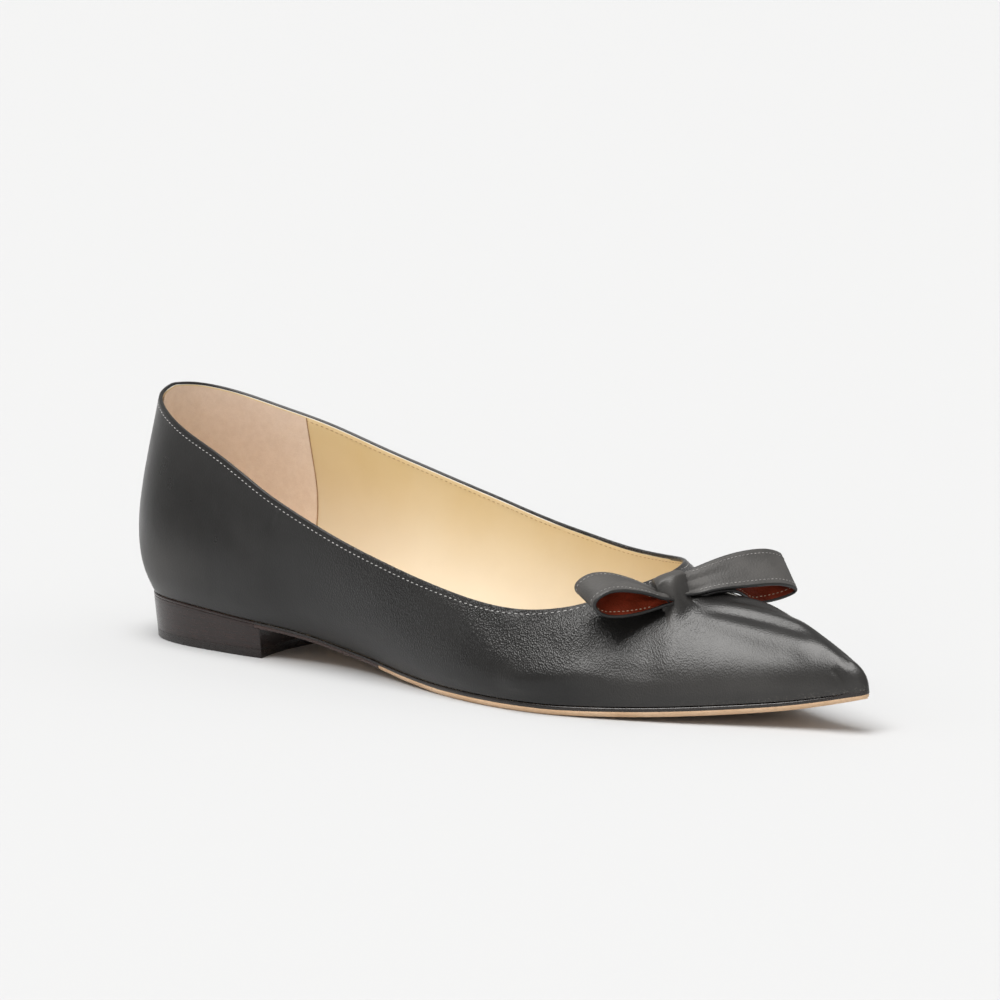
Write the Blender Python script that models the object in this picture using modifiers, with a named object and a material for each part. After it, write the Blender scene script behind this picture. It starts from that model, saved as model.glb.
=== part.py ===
# Pointed ballerina flat, right shoe, with a leather bow at the throat.
# +X points to the toe, +Y to the wearer's left (the medial side), +Z up, in metres.
# The origin is at the middle of the heel's flat bottom face.

import math
from collections import namedtuple

import bmesh
import bpy
import numpy as np
from mathutils import Vector
from mathutils.bvhtree import BVHTree

# Overall sizes
shoe_length = 0.2631      # feather line, back of the heel to the tip
ball_width = 0.0740       # feather line, across the ball
back_height = 0.0755      # floor to the topline at the back
instep_height = 0.0386    # floor to the vamp at the throat
heel_height = 0.0117      # floor to the sole's underside, at the back
toe_spring = 0.0101       # floor to the sole's underside, at the tip

# Walls and thicknesses
upper_wall = 0.0016
tip_wall = 0.60           # the wall at the very tip, as a share of the rest
sole_thickness = 0.0028
insole_thickness = 0.0020
lift_thickness = 0.0026
strap_thickness = 0.0016
piece_gap = 0.0003
edge_bevel = 0.0007       # the outsole's lower edge
floor_trim = 0.00006      # taken off the sole's curve, so the ball is flat on the floor

# Heel block
heel_length = 0.0590      # back of the sole to the breast's corners
breast_hollow = 0.0045    # depth of the breast's curve
heel_taper = 0.0011       # the block's inset at the floor
heel_rest = 0.0300        # back of the sole to the origin

# Bow
strap_width = 0.0124
strap_room = 0.0006       # least room between the bow and the vamp
band_width = 0.0068       # along the bow, over its middle

# Counts
side_columns = 72         # columns of the upper on each side, heel to tip
throat_column = 46        # the first column that ends on the vamp's crest
tip_columns = 10          # over these the wall thins towards the tip
wall_rows = 9
sole_steps = 56           # stations along the outsole
heel_steps = 14
loop_steps = 26
strap_lanes = 4
band_steps = 10
band_lanes = 6

# Sole outline and heights: shares of shoe_length, ball_width, heel_height or toe_spring
SoleRow = namedtuple("SoleRow", "along lateral medial heel_share spring_share thick")
sole_rows = (
    SoleRow(0.000, 0.000, 0.000, 1.00, 0.00, 0.72),
    SoleRow(0.012, 0.158, 0.154, 1.00, 0.00, 0.72),
    SoleRow(0.046, 0.280, 0.274, 1.00, 0.00, 0.72),
    SoleRow(0.100, 0.340, 0.326, 0.975, 0.00, 0.72),
    SoleRow(0.160, 0.352, 0.338, 0.885, 0.00, 0.72),
    SoleRow(0.224, 0.346, 0.312, 0.775, 0.00, 0.72),
    SoleRow(0.290, 0.310, 0.270, 0.590, 0.00, 0.72),
    SoleRow(0.335, 0.296, 0.262, 0.400, 0.00, 0.74),
    SoleRow(0.385, 0.314, 0.282, 0.245, 0.00, 0.78),
    SoleRow(0.430, 0.354, 0.322, 0.125, 0.00, 0.84),
    SoleRow(0.480, 0.406, 0.376, 0.045, 0.00, 0.92),
    SoleRow(0.527, 0.450, 0.430, 0.000, 0.00, 1.00),
    SoleRow(0.575, 0.482, 0.478, 0.000, 0.00, 1.00),
    SoleRow(0.622, 0.492, 0.506, 0.000, 0.00, 1.00),
    SoleRow(0.670, 0.476, 0.508, 0.000, 0.005, 1.00),
    SoleRow(0.716, 0.432, 0.476, 0.000, 0.040, 1.00),
    SoleRow(0.764, 0.365, 0.414, 0.000, 0.100, 1.00),
    SoleRow(0.803, 0.303, 0.356, 0.000, 0.170, 1.00),
    SoleRow(0.841, 0.235, 0.290, 0.000, 0.258, 1.00),
    SoleRow(0.879, 0.166, 0.222, 0.000, 0.366, 0.98),
    SoleRow(0.917, 0.102, 0.158, 0.000, 0.505, 0.94),
    SoleRow(0.954, 0.048, 0.112, 0.000, 0.695, 0.90),
    SoleRow(0.982, 0.016, 0.082, 0.000, 0.870, 0.84),
    SoleRow(1.000, -0.032, 0.032, 0.000, 1.00, 0.80),
)

# Upper wall on each side: the top edge's place (shares of shoe_length, ball_width and
# back_height) for the column whose foot is at "along", and the column's fullness.
# belly and rise are the foot's handle, out and drop the top's, as shares of ball_width.
WallRow = namedtuple("WallRow", "along top_along top_side top_height belly rise out drop")
lateral_wall = (
    WallRow(0.000, -0.003, 0.000, 1.000, 0.140, 0.20, 0.056, 0.30),
    WallRow(0.012, 0.009, 0.122, 0.968, 0.138, 0.20, 0.056, 0.29),
    WallRow(0.046, 0.049, 0.224, 0.914, 0.122, 0.19, 0.046, 0.27),
    WallRow(0.100, 0.104, 0.290, 0.850, 0.104, 0.17, 0.032, 0.24),
    WallRow(0.160, 0.166, 0.330, 0.780, 0.096, 0.16, 0.024, 0.22),
    WallRow(0.224, 0.232, 0.367, 0.688, 0.108, 0.15, 0.020, 0.20),
    WallRow(0.290, 0.289, 0.390, 0.618, 0.124, 0.14, 0.020, 0.18),
    WallRow(0.335, 0.346, 0.408, 0.556, 0.124, 0.13, 0.022, 0.17),
    WallRow(0.385, 0.403, 0.421, 0.503, 0.112, 0.12, 0.028, 0.15),
    WallRow(0.430, 0.460, 0.429, 0.456, 0.096, 0.11, 0.036, 0.13),
    WallRow(0.480, 0.517, 0.431, 0.415, 0.078, 0.11, 0.048, 0.11),
    WallRow(0.527, 0.574, 0.418, 0.380, 0.066, 0.11, 0.062, 0.10),
    WallRow(0.575, 0.620, 0.378, 0.367, 0.058, 0.11, 0.080, 0.09),
    WallRow(0.622, 0.656, 0.326, 0.378, 0.052, 0.11, 0.100, 0.08),
    WallRow(0.662, 0.691, 0.246, 0.410, 0.048, 0.12, 0.130, 0.07),
    WallRow(0.688, 0.719, 0.128, 0.460, 0.044, 0.12, 0.165, 0.05),
)
medial_wall = (
    WallRow(0.000, -0.003, 0.000, 1.000, 0.140, 0.20, 0.056, 0.30),
    WallRow(0.012, 0.009, 0.122, 0.992, 0.134, 0.20, 0.056, 0.29),
    WallRow(0.046, 0.049, 0.222, 0.957, 0.114, 0.19, 0.046, 0.28),
    WallRow(0.100, 0.108, 0.284, 0.902, 0.086, 0.18, 0.026, 0.26),
    WallRow(0.160, 0.166, 0.340, 0.845, 0.082, 0.17, 0.024, 0.25),
    WallRow(0.224, 0.232, 0.378, 0.773, 0.100, 0.17, 0.020, 0.23),
    WallRow(0.290, 0.289, 0.405, 0.716, 0.120, 0.17, 0.020, 0.22),
    WallRow(0.335, 0.346, 0.426, 0.662, 0.130, 0.16, 0.022, 0.21),
    WallRow(0.385, 0.403, 0.443, 0.611, 0.122, 0.15, 0.026, 0.19),
    WallRow(0.430, 0.460, 0.454, 0.561, 0.104, 0.15, 0.034, 0.17),
    WallRow(0.480, 0.517, 0.456, 0.524, 0.084, 0.14, 0.046, 0.16),
    WallRow(0.527, 0.574, 0.446, 0.495, 0.068, 0.14, 0.060, 0.15),
    WallRow(0.575, 0.620, 0.418, 0.488, 0.056, 0.14, 0.080, 0.14),
    WallRow(0.622, 0.658, 0.372, 0.494, 0.048, 0.14, 0.100, 0.12),
    WallRow(0.662, 0.691, 0.304, 0.505, 0.044, 0.14, 0.120, 0.09),
    WallRow(0.688, 0.717, 0.206, 0.515, 0.042, 0.13, 0.145, 0.04),
)

# Crest of the vamp from the throat to the tip: shares of shoe_length, ball_width and
# instep_height, and the handles of the columns that end on it (out is a share of the
# distance in plan to the feather line)
CrestRow = namedtuple("CrestRow", "along side height tilt belly rise out")
crest_rows = (
    CrestRow(0.738, 0.054, 1.000, 0.10, 0.042, 0.125, 0.480),
    CrestRow(0.780, 0.088, 0.908, 0.07, 0.040, 0.125, 0.490),
    CrestRow(0.822, 0.120, 0.838, 0.05, 0.038, 0.120, 0.500),
    CrestRow(0.864, 0.120, 0.775, 0.04, 0.034, 0.110, 0.500),
    CrestRow(0.906, 0.092, 0.700, 0.02, 0.026, 0.100, 0.480),
    CrestRow(0.944, 0.062, 0.608, 0.00, 0.012, 0.085, 0.430),
    CrestRow(0.972, 0.042, 0.518, 0.00, 0.002, 0.070, 0.280),
)

# Bow loops: the front edge's inner end (shares of shoe_length, ball_width and
# instep_height), the loop's reach and height in metres, and its angles in degrees
Loop = namedtuple("Loop", "name side along across height length tall turn rise lean")
bow_loops = (
    Loop("bow_loop_lateral", "lateral", 0.7710, -0.162, 0.822, 0.0230, 0.0074, -24.0, 0.07, 14.0),
    Loop("bow_loop_medial", "medial", 0.7760, -0.036, 0.836, 0.0354, 0.0072, 23.0, -0.02, 42.0),
)

# Front edge of a loop's strap: reach, height and width as shares of the loop and strap
LoopRow = namedtuple("LoopRow", "out up width")
loop_rows = (
    LoopRow(0.00, -0.14, 0.62),
    LoopRow(0.18, -0.30, 0.72),
    LoopRow(0.42, -0.47, 0.88),
    LoopRow(0.68, -0.53, 0.98),
    LoopRow(0.88, -0.37, 1.00),
    LoopRow(0.97, 0.00, 1.00),
    LoopRow(0.87, 0.37, 1.00),
    LoopRow(0.66, 0.53, 0.98),
    LoopRow(0.40, 0.46, 0.88),
    LoopRow(0.18, 0.30, 0.72),
    LoopRow(0.00, 0.14, 0.62),
)

# Band over the bow's middle, from the throat to the toe side: its centre (shares of
# shoe_length and ball_width), half its width and its height over the vamp
BandRow = namedtuple("BandRow", "along side half height")
band_rows = (
    BandRow(0.7440, -0.044, 0.40, 0.0013),
    BandRow(0.7500, -0.058, 0.40, 0.0038),
    BandRow(0.7575, -0.070, 0.40, 0.0047),
    BandRow(0.7660, -0.083, 0.41, 0.0044),
    BandRow(0.7745, -0.096, 0.43, 0.0032),
    BandRow(0.7825, -0.109, 0.45, 0.0012),
)


def station(along):
    # Even steps of this value crowd together at both ends of the shoe
    return math.acos(1.0 - 2.0 * min(max(along, 0.0), 1.0)) / math.pi


class Curve:
    """Natural cubic spline through rows of values, one column for each name."""

    def __init__(self, places, rows, mirrored=False):
        self.t = np.array(places, float)
        self.v = np.array(rows, float)
        n = len(self.t)
        h = np.diff(self.t)
        a = np.zeros((n, n))
        b = np.zeros_like(self.v)
        a[0, 0] = 1.0
        a[-1, -1] = 1.0
        if mirrored:
            a[0, 0], a[0, 1] = 2.0 * h[0], h[0]
            b[0] = 6.0 * (self.v[1] - self.v[0]) / h[0]
        for i in range(1, n - 1):
            a[i, i - 1], a[i, i], a[i, i + 1] = h[i - 1], 2.0 * (h[i - 1] + h[i]), h[i]
            b[i] = 6.0 * ((self.v[i + 1] - self.v[i]) / h[i] - (self.v[i] - self.v[i - 1]) / h[i - 1])
        self.m = np.linalg.solve(a, b)

    def __call__(self, t):
        t = min(max(t, self.t[0]), self.t[-1])
        i = min(max(int(np.searchsorted(self.t, t)) - 1, 0), len(self.t) - 2)
        h = self.t[i + 1] - self.t[i]
        p, q = (self.t[i + 1] - t) / h, (t - self.t[i]) / h
        bend = ((p ** 3 - p) * self.m[i] + (q ** 3 - q) * self.m[i + 1]) * h * h / 6.0
        return p * self.v[i] + q * self.v[i + 1] + bend


outline = Curve([station(r.along) for r in sole_rows], [r[1:3] for r in sole_rows])
heights = Curve([station(r.along) for r in sole_rows], [r[3:] for r in sole_rows], mirrored=True)


def side_sign(side):
    return -1.0 if side == "lateral" else 1.0


def foot_point(side, t, inset=0.0):
    # Point of the feather line at station t, moved inwards by inset
    along = (1.0 - math.cos(math.pi * t)) / 2.0
    half = outline(t)[0 if side == "lateral" else 1] * ball_width
    point = Vector((along * shoe_length - heel_rest, side_sign(side) * half, 0.0))
    return point - foot_normal(side, t) * inset


def foot_normal(side, t):
    # Outward direction of the feather line in plan
    step = 0.004
    k = 0 if side == "lateral" else 1
    low, high = t - step, t + step
    along = [(1.0 - math.cos(math.pi * v)) / 2.0 * shoe_length for v in (low, high)]
    half = [(outline(abs(low))[k] if low >= 0.0 else -outline(-low)[k]) * ball_width]
    if high <= 1.0:
        half.append(outline(high)[k] * ball_width)
    else:
        half.append((2.0 * outline(1.0)[k] - outline(2.0 - high)[k]) * ball_width)
    tangent = Vector((along[1] - along[0], side_sign(side) * (half[1] - half[0]), 0.0)).normalized()
    return Vector((-tangent.y, tangent.x, 0.0)) * side_sign(side)


def underside(t):
    # Height of the sole's lower face
    heel_share, spring_share, _ = heights(t)
    return max(heel_share * heel_height + spring_share * toe_spring - floor_trim, 0.0)


def topside(t):
    # Height of the feather line, on the sole's upper face
    return underside(t) + heights(t)[2] * sole_thickness


def bezier(p0, p1, p2, p3, t):
    s = 1.0 - t
    return p0 * s ** 3 + p1 * 3.0 * s * s * t + p2 * 3.0 * s * t * t + p3 * t ** 3


def crest_reach(foot, row):
    # Distance in plan from a point of the feather line to a point of the crest
    return math.hypot(foot.x - row.along * shoe_length + heel_rest, foot.y - row.side * ball_width)


def wall_curve(side):
    # The wall's values along one side, on past the throat into the other side's
    rows, others = (lateral_wall, medial_wall) if side == "lateral" else (medial_wall, lateral_wall)
    sign = side_sign(side)
    centre = crest_rows[0]
    throat = throat_column / side_columns
    reach = centre.out * crest_reach(foot_point(side, throat), centre) / ball_width
    end = (centre.along, sign * centre.side, centre.height * instep_height / back_height,
           centre.belly, centre.rise, reach, sign * -centre.tilt * reach)
    places = [station(r.along) for r in rows] + [throat]
    values = [r[1:] for r in rows] + [end]
    for other in others[:-3:-1]:
        places.append(2.0 * throat - station(other.along))
        values.append((other.top_along, -other.top_side) + other[3:])
    return Curve(places, values)


def column_handles(side, i):
    # The four points of column i of the upper's outer face
    sign = side_sign(side)
    t = i / side_columns
    foot = foot_point(side, t) + Vector((0.0, 0.0, topside(t) + piece_gap))
    normal = foot_normal(side, t)
    if i == side_columns:
        normal = Vector((1.0, 0.0, 0.0))
    if i == 0:
        normal = Vector((-1.0, 0.0, 0.0))
    if i < throat_column:
        top_along, top_side, top_height, belly, rise, out, drop = wall[side](t)
        top = Vector((top_along * shoe_length - heel_rest, sign * top_side * ball_width,
                      top_height * back_height))
        across = Vector((0.0, sign, 0.0))
        turn = min(max((t - 0.38) / 0.22, 0.0), 1.0)
        level = normal.lerp(across, turn * turn * (3.0 - 2.0 * turn)).normalized()
        high = top + (level * out - Vector((0.0, 0.0, drop))) * ball_width
    else:
        share = (i - throat_column) / (side_columns - throat_column)
        first, last = crest_rows[0].along, crest_rows[-1].along
        along = first + (last - first) * math.sin(share * math.pi / 2.0)
        crest_side, height, tilt, belly, rise, out = crest(along)
        top = Vector((along * shoe_length - heel_rest, crest_side * ball_width, height * instep_height))
        level = Vector((0.0, sign, sign * tilt))
        if i == side_columns:
            level = Vector((1.0, 0.0, 0.0))
        high = top + level * out * math.hypot(foot.x - top.x, foot.y - top.y)
    low = foot + (normal * belly + Vector((0.0, 0.0, rise))) * ball_width
    return foot, low, high, top


wall = {side: wall_curve(side) for side in ("lateral", "medial")}
crest = Curve([r.along for r in crest_rows], [r[1:] for r in crest_rows])


def upper_point(side, i, row):
    return bezier(*column_handles(side, i), row / wall_rows)


def new_object(name, mesh, material, collection):
    obj = bpy.data.objects.new(name, mesh)
    collection.objects.link(obj)
    obj.data.materials.append(material)
    return obj


def make_material(name, colour, roughness, metallic=0.0):
    material = bpy.data.materials.new(name)
    material.use_nodes = True
    shader = material.node_tree.nodes["Principled BSDF"]
    shader.inputs["Base Color"].default_value = (*colour, 1.0)
    shader.inputs["Roughness"].default_value = roughness
    shader.inputs["Metallic"].default_value = metallic
    return material


def shade(mesh, degrees=40.0):
    mesh.shade_smooth()
    mesh.set_sharp_from_angle(angle=math.radians(degrees))


def make_upper(material, collection):
    # The outer face is a loft of columns, and Solidify gives it the wall inwards
    bm = bmesh.new()
    cache = {}

    def vert(side, i, row):
        if i in (0, side_columns) or (row == wall_rows and i >= throat_column):
            key = ("both", i, row)
        else:
            key = (side, i, row)
        if key not in cache:
            cache[key] = bm.verts.new(upper_point(side, i, row))
        return cache[key]

    for side in ("lateral", "medial"):
        for i in range(side_columns):
            for row in range(wall_rows):
                ring = [vert(side, i, row), vert(side, i + 1, row),
                        vert(side, i + 1, row + 1), vert(side, i, row + 1)]
                if side == "medial":
                    ring.reverse()
                bm.faces.new(ring)
    bm.verts.index_update()
    mesh = bpy.data.meshes.new("upper")
    bm.to_mesh(mesh)
    obj = new_object("upper", mesh, material, collection)
    full = obj.vertex_groups.new(name="wall")
    for (_, i, _), v in cache.items():
        share = min((side_columns - i) / tip_columns, 1.0)
        full.add([v.index], tip_wall + (1.0 - tip_wall) * share, "REPLACE")
    bm.free()
    leather = obj.modifiers.new("wall", "SOLIDIFY")
    leather.vertex_group = "wall"
    leather.thickness = upper_wall
    leather.offset = -1.0
    leather.use_even_offset = True
    shade(mesh)
    return obj


def plate(name, low, high, middle, material, collection, sharp=30.0):
    # Closed plate between two grids of points, with any edge lines between their rims
    bm = bmesh.new()
    rows, columns = len(low), len(low[0])
    rim = [(0, k) for k in range(columns)] + [(i, columns - 1) for i in range(1, rows)]
    rim += [(rows - 1, k) for k in range(columns - 2, -1, -1)] + [(i, 0) for i in range(rows - 2, 0, -1)]
    grids = [[[bm.verts.new(p) for p in line] for line in grid] for grid in (low, high)]
    for grid, flip in zip(grids, (False, True)):
        for i in range(rows - 1):
            for k in range(columns - 1):
                face = [grid[i][k], grid[i][k + 1], grid[i + 1][k + 1], grid[i + 1][k]]
                bm.faces.new(face[::-1] if flip else face)
    edges = [[grids[0][i][k] for i, k in rim]]
    edges += [[bm.verts.new(grid[i][k]) for i, k in rim] for grid in middle]
    edges.append([grids[1][i][k] for i, k in rim])
    for a, b in zip(edges, edges[1:]):
        for n in range(len(rim)):
            m = (n + 1) % len(rim)
            bm.faces.new((a[n], a[m], b[m], b[n]))
    bmesh.ops.recalc_face_normals(bm, faces=bm.faces)
    mesh = bpy.data.meshes.new(name)
    bm.to_mesh(mesh)
    bm.free()
    shade(mesh, sharp)
    return new_object(name, mesh, material, collection)


def across(t, inset, height, bow=0.0, steps=8):
    # Points across the shoe at station t; bow bends the line towards the heel in its middle
    width = (foot_point("medial", t) - foot_point("lateral", t)).length
    near = foot_point("lateral", t, min(inset, 0.3 * width))
    far = foot_point("medial", t, min(inset, 0.3 * width))
    line = []
    for k in range(steps + 1):
        share = k / steps
        point = near.lerp(far, share)
        point.x -= bow * 4.0 * share * (1.0 - share)
        point.z = height(t, point)
        line.append(point)
    return line


def make_outsole(material, collection):
    # The lower edge is bevelled all round, and the forepart's underside is flat on the floor
    stations = [k / sole_steps for k in range(1, sole_steps)]

    def level(drop, lift):
        return lambda t, point: (underside(t) if drop else topside(t)) + lift

    low = [across(t, edge_bevel * 1.4, level(True, 0.0)) for t in stations]
    lip = [across(t, 0.0, level(True, edge_bevel)) for t in stations]
    high = [across(t, 0.0, level(False, 0.0)) for t in stations]
    return plate("outsole", low, high, [lip], material, collection)


def make_insole(material, collection):
    # The sock lies on the sole, just inside the upper's wall
    first, last = 3, sole_steps - 9
    stations = [k / sole_steps for k in range(first, last + 1)]
    inset = upper_wall + 2.0 * piece_gap
    low = [across(t, inset, lambda v, p: topside(v) + piece_gap) for t in stations]
    high = [across(t, inset, lambda v, p: topside(v) + piece_gap + insole_thickness) for t in stations]
    return plate("insole", low, high, [], material, collection)


def heel_stations():
    end = station(heel_length / shoe_length)
    return [end * k / heel_steps for k in range(1, heel_steps + 1)]


def heel_line(t, inset, height):
    end = station(heel_length / shoe_length)
    return across(t, inset, height, bow=breast_hollow * (t / end) ** 3)


def make_heel(material, collection):
    # The block follows the sole's outline, narrows to the floor and has a hollow breast
    foot = lift_thickness + piece_gap
    low = [heel_line(t, heel_taper * 0.85, lambda v, p: foot) for t in heel_stations()]
    high = []
    for t in heel_stations():
        line = heel_line(t, 0.0, lambda v, p: 0.0)
        for point in line:
            back = (point.x + heel_rest) / shoe_length
            point.z = underside(station(back)) - piece_gap
        high.append(line)
    return plate("heel", low, high, [], material, collection)


def make_lift(material, collection):
    # The top piece under the block, flat on the floor
    low = [heel_line(t, heel_taper, lambda v, p: 0.0) for t in heel_stations()]
    high = [heel_line(t, heel_taper * 0.85, lambda v, p: lift_thickness) for t in heel_stations()]
    return plate("heel_lift", low, high, [], material, collection)


def vamp_tree():
    # The upper's outer face, for keeping the bow clear of it
    points = []
    faces = []
    for side in ("lateral", "medial"):
        start = len(points)
        for i in range(side_columns + 1):
            points += [upper_point(side, i, row) for row in range(wall_rows + 1)]
        for i in range(side_columns):
            for row in range(wall_rows):
                a = start + i * (wall_rows + 1) + row
                ring = [a, a + wall_rows + 1, a + wall_rows + 2, a + 1]
                faces.append(ring[::-1] if side == "medial" else ring)
    return BVHTree.FromPolygons(points, faces)


def lift(point, room, vamp):
    # The move that brings a point this far off the vamp
    place, normal, _, _ = vamp.find_nearest(point)
    return normal * max(room - (point - place).dot(normal), 0.0)


def loop_frame(loop):
    # Outward, across and upward directions of a bow loop
    sign = side_sign(loop.side)
    turn = math.radians(loop.turn)
    lean = math.radians(loop.lean)
    out = Vector((math.sin(turn), sign * math.cos(turn), loop.rise)).normalized()
    level = Vector((math.cos(turn), -sign * math.sin(turn), 0.0))
    front = level * math.cos(lean) - Vector((0.0, 0.0, math.sin(lean)))
    front = (front - out * front.dot(out)).normalized()
    up = out.cross(front) if sign < 0.0 else front.cross(out)
    return out, front, up.normalized()


def make_loop(loop, vamp, material, collection):
    # A strap bent into a drop shape: it leaves the band, folds at its end and comes back
    out, front, up = loop_frame(loop)
    knot = Vector((loop.along * shoe_length - heel_rest, loop.across * ball_width,
                   loop.height * instep_height))
    chord = [0.0]
    for a, b in zip(loop_rows, loop_rows[1:]):
        chord.append(chord[-1] + math.hypot((b.out - a.out) * loop.length, (b.up - a.up) * loop.tall))
    path = Curve([c / chord[-1] for c in chord], loop_rows)
    grid = []
    for n in range(loop_steps + 1):
        reach, rise, width = path(n / loop_steps)
        edge = knot + out * reach * loop.length + up * rise * loop.tall
        grid.append([edge - front * strap_width * width * k / strap_lanes for k in range(strap_lanes + 1)])
    room = strap_thickness / 2.0 + strap_room
    lower = [[lift(point, room, vamp) for point in line] for line in grid[:loop_steps // 2 + 1]]
    bm = bmesh.new()
    strips = []
    for n, line in enumerate(grid):
        moves = lower[min(n, loop_steps - n)]
        strips.append([bm.verts.new(point + move) for point, move in zip(line, moves)])
    for a, b in zip(strips, strips[1:]):
        for k in range(strap_lanes):
            bm.faces.new((a[k], a[k + 1], b[k + 1], b[k]))
    bmesh.ops.recalc_face_normals(bm, faces=bm.faces)
    mesh = bpy.data.meshes.new(loop.name)
    bm.to_mesh(mesh)
    bm.free()
    obj = new_object(loop.name, mesh, material, collection)
    strap = obj.modifiers.new("strap", "SOLIDIFY")
    strap.thickness = strap_thickness
    strap.offset = 0.0
    strap.use_even_offset = True
    shade(mesh)
    return obj


def make_band(vamp, material, collection):
    # A low saddle between the two loops, tucked in at the throat and at the toe side
    curve = Curve([r.along for r in band_rows], [r[1:] for r in band_rows])
    first, last = band_rows[0].along, band_rows[-1].along
    way = Vector(((last - first) * shoe_length,
                  (band_rows[-1].side - band_rows[0].side) * ball_width, 0.0)).normalized()
    lateral = Vector((way.y, -way.x, 0.0))
    down = Vector((0.0, 0.0, -1.0))
    low = []
    high = []
    for n in range(band_steps + 1):
        along = first + (last - first) * n / band_steps
        side, half, height = curve(along)
        centre = Vector((along * shoe_length - heel_rest, side * ball_width, 2.0 * instep_height))
        under = []
        over = []
        for k in range(band_lanes + 1):
            share = 2.0 * k / band_lanes - 1.0
            place, normal, _, _ = vamp.ray_cast(centre + lateral * share * half * band_width, down)
            under.append(place + normal * strap_room)
            over.append(place + normal * (strap_room + height * (1.0 - 0.34 * share * share)))
        low.append(under)
        high.append(over)
    return plate("bow_band", low, high, [], material, collection)


collection = bpy.data.collections.new("ballerina_flat")


def main():
    for obj in list(bpy.data.objects):
        bpy.data.objects.remove(obj)
    bpy.context.scene.collection.children.link(collection)
    nappa = make_material("black nappa", (0.035, 0.034, 0.034), 0.45)
    sole_leather = make_material("sole leather", (0.60, 0.42, 0.25), 0.5)
    heel_stack = make_material("stacked heel", (0.075, 0.022, 0.016), 0.3)
    lining = make_material("cream lining", (0.83, 0.70, 0.44), 0.55)
    make_upper(nappa, collection)
    make_outsole(sole_leather, collection)
    make_insole(lining, collection)
    make_heel(heel_stack, collection)
    make_lift(heel_stack, collection)
    vamp = vamp_tree()
    for loop in bow_loops:
        make_loop(loop, vamp, nappa, collection)
    make_band(vamp, nappa, collection)


main()
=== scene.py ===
import math
import random
from collections import namedtuple
from functools import lru_cache

import bmesh
import bpy
import numpy as np
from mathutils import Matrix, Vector, noise
from mathutils.bvhtree import BVHTree


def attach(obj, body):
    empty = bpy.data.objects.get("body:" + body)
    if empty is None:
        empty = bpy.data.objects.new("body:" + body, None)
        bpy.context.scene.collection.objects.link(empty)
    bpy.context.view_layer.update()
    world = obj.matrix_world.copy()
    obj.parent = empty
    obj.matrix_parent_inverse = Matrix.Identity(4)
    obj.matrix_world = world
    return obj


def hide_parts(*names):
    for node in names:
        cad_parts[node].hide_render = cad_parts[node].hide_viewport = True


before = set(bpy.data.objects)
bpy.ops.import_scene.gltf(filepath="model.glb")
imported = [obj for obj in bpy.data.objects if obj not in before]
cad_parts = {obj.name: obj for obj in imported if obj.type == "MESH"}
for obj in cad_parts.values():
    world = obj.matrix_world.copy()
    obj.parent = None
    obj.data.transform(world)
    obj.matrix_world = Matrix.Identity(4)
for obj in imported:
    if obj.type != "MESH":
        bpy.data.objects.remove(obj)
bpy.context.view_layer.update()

# Shoe sizes in metres, as in the solids
shoeLength = 0.2631
ballWidth = 0.0740
backHeight = 0.0755
instepHeight = 0.0386
heelHeight = 0.0117
toeSpring = 0.0101
soleThickness = 0.0028
pieceGap = 0.0003
floorTrim = 0.00006
heelRest = 0.0300  # back of the sole to the origin
sideColumns = 72
throatColumn = 46  # the first column that ends on the vamp's crest
wallRows = 9
mm = 0.001

soleRow = namedtuple("soleRow", "along lateral medial heelShare springShare thick")
soleRows = [soleRow(*row) for row in (
    (0.000, 0.000, 0.000, 1.00, 0.00, 0.72),
    (0.012, 0.158, 0.154, 1.00, 0.00, 0.72),
    (0.046, 0.280, 0.274, 1.00, 0.00, 0.72),
    (0.100, 0.340, 0.326, 0.975, 0.00, 0.72),
    (0.160, 0.352, 0.338, 0.885, 0.00, 0.72),
    (0.224, 0.346, 0.312, 0.775, 0.00, 0.72),
    (0.290, 0.310, 0.270, 0.590, 0.00, 0.72),
    (0.335, 0.296, 0.262, 0.400, 0.00, 0.74),
    (0.385, 0.314, 0.282, 0.245, 0.00, 0.78),
    (0.430, 0.354, 0.322, 0.125, 0.00, 0.84),
    (0.480, 0.406, 0.376, 0.045, 0.00, 0.92),
    (0.527, 0.450, 0.430, 0.000, 0.00, 1.00),
    (0.575, 0.482, 0.478, 0.000, 0.00, 1.00),
    (0.622, 0.492, 0.506, 0.000, 0.00, 1.00),
    (0.670, 0.476, 0.508, 0.000, 0.005, 1.00),
    (0.716, 0.432, 0.476, 0.000, 0.040, 1.00),
    (0.764, 0.365, 0.414, 0.000, 0.100, 1.00),
    (0.803, 0.303, 0.356, 0.000, 0.170, 1.00),
    (0.841, 0.235, 0.290, 0.000, 0.258, 1.00),
    (0.879, 0.166, 0.222, 0.000, 0.366, 0.98),
    (0.917, 0.102, 0.158, 0.000, 0.505, 0.94),
    (0.954, 0.048, 0.112, 0.000, 0.695, 0.90),
    (0.982, 0.016, 0.082, 0.000, 0.870, 0.84),
    (1.000, -0.032, 0.032, 0.000, 1.00, 0.80),
)]

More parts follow.
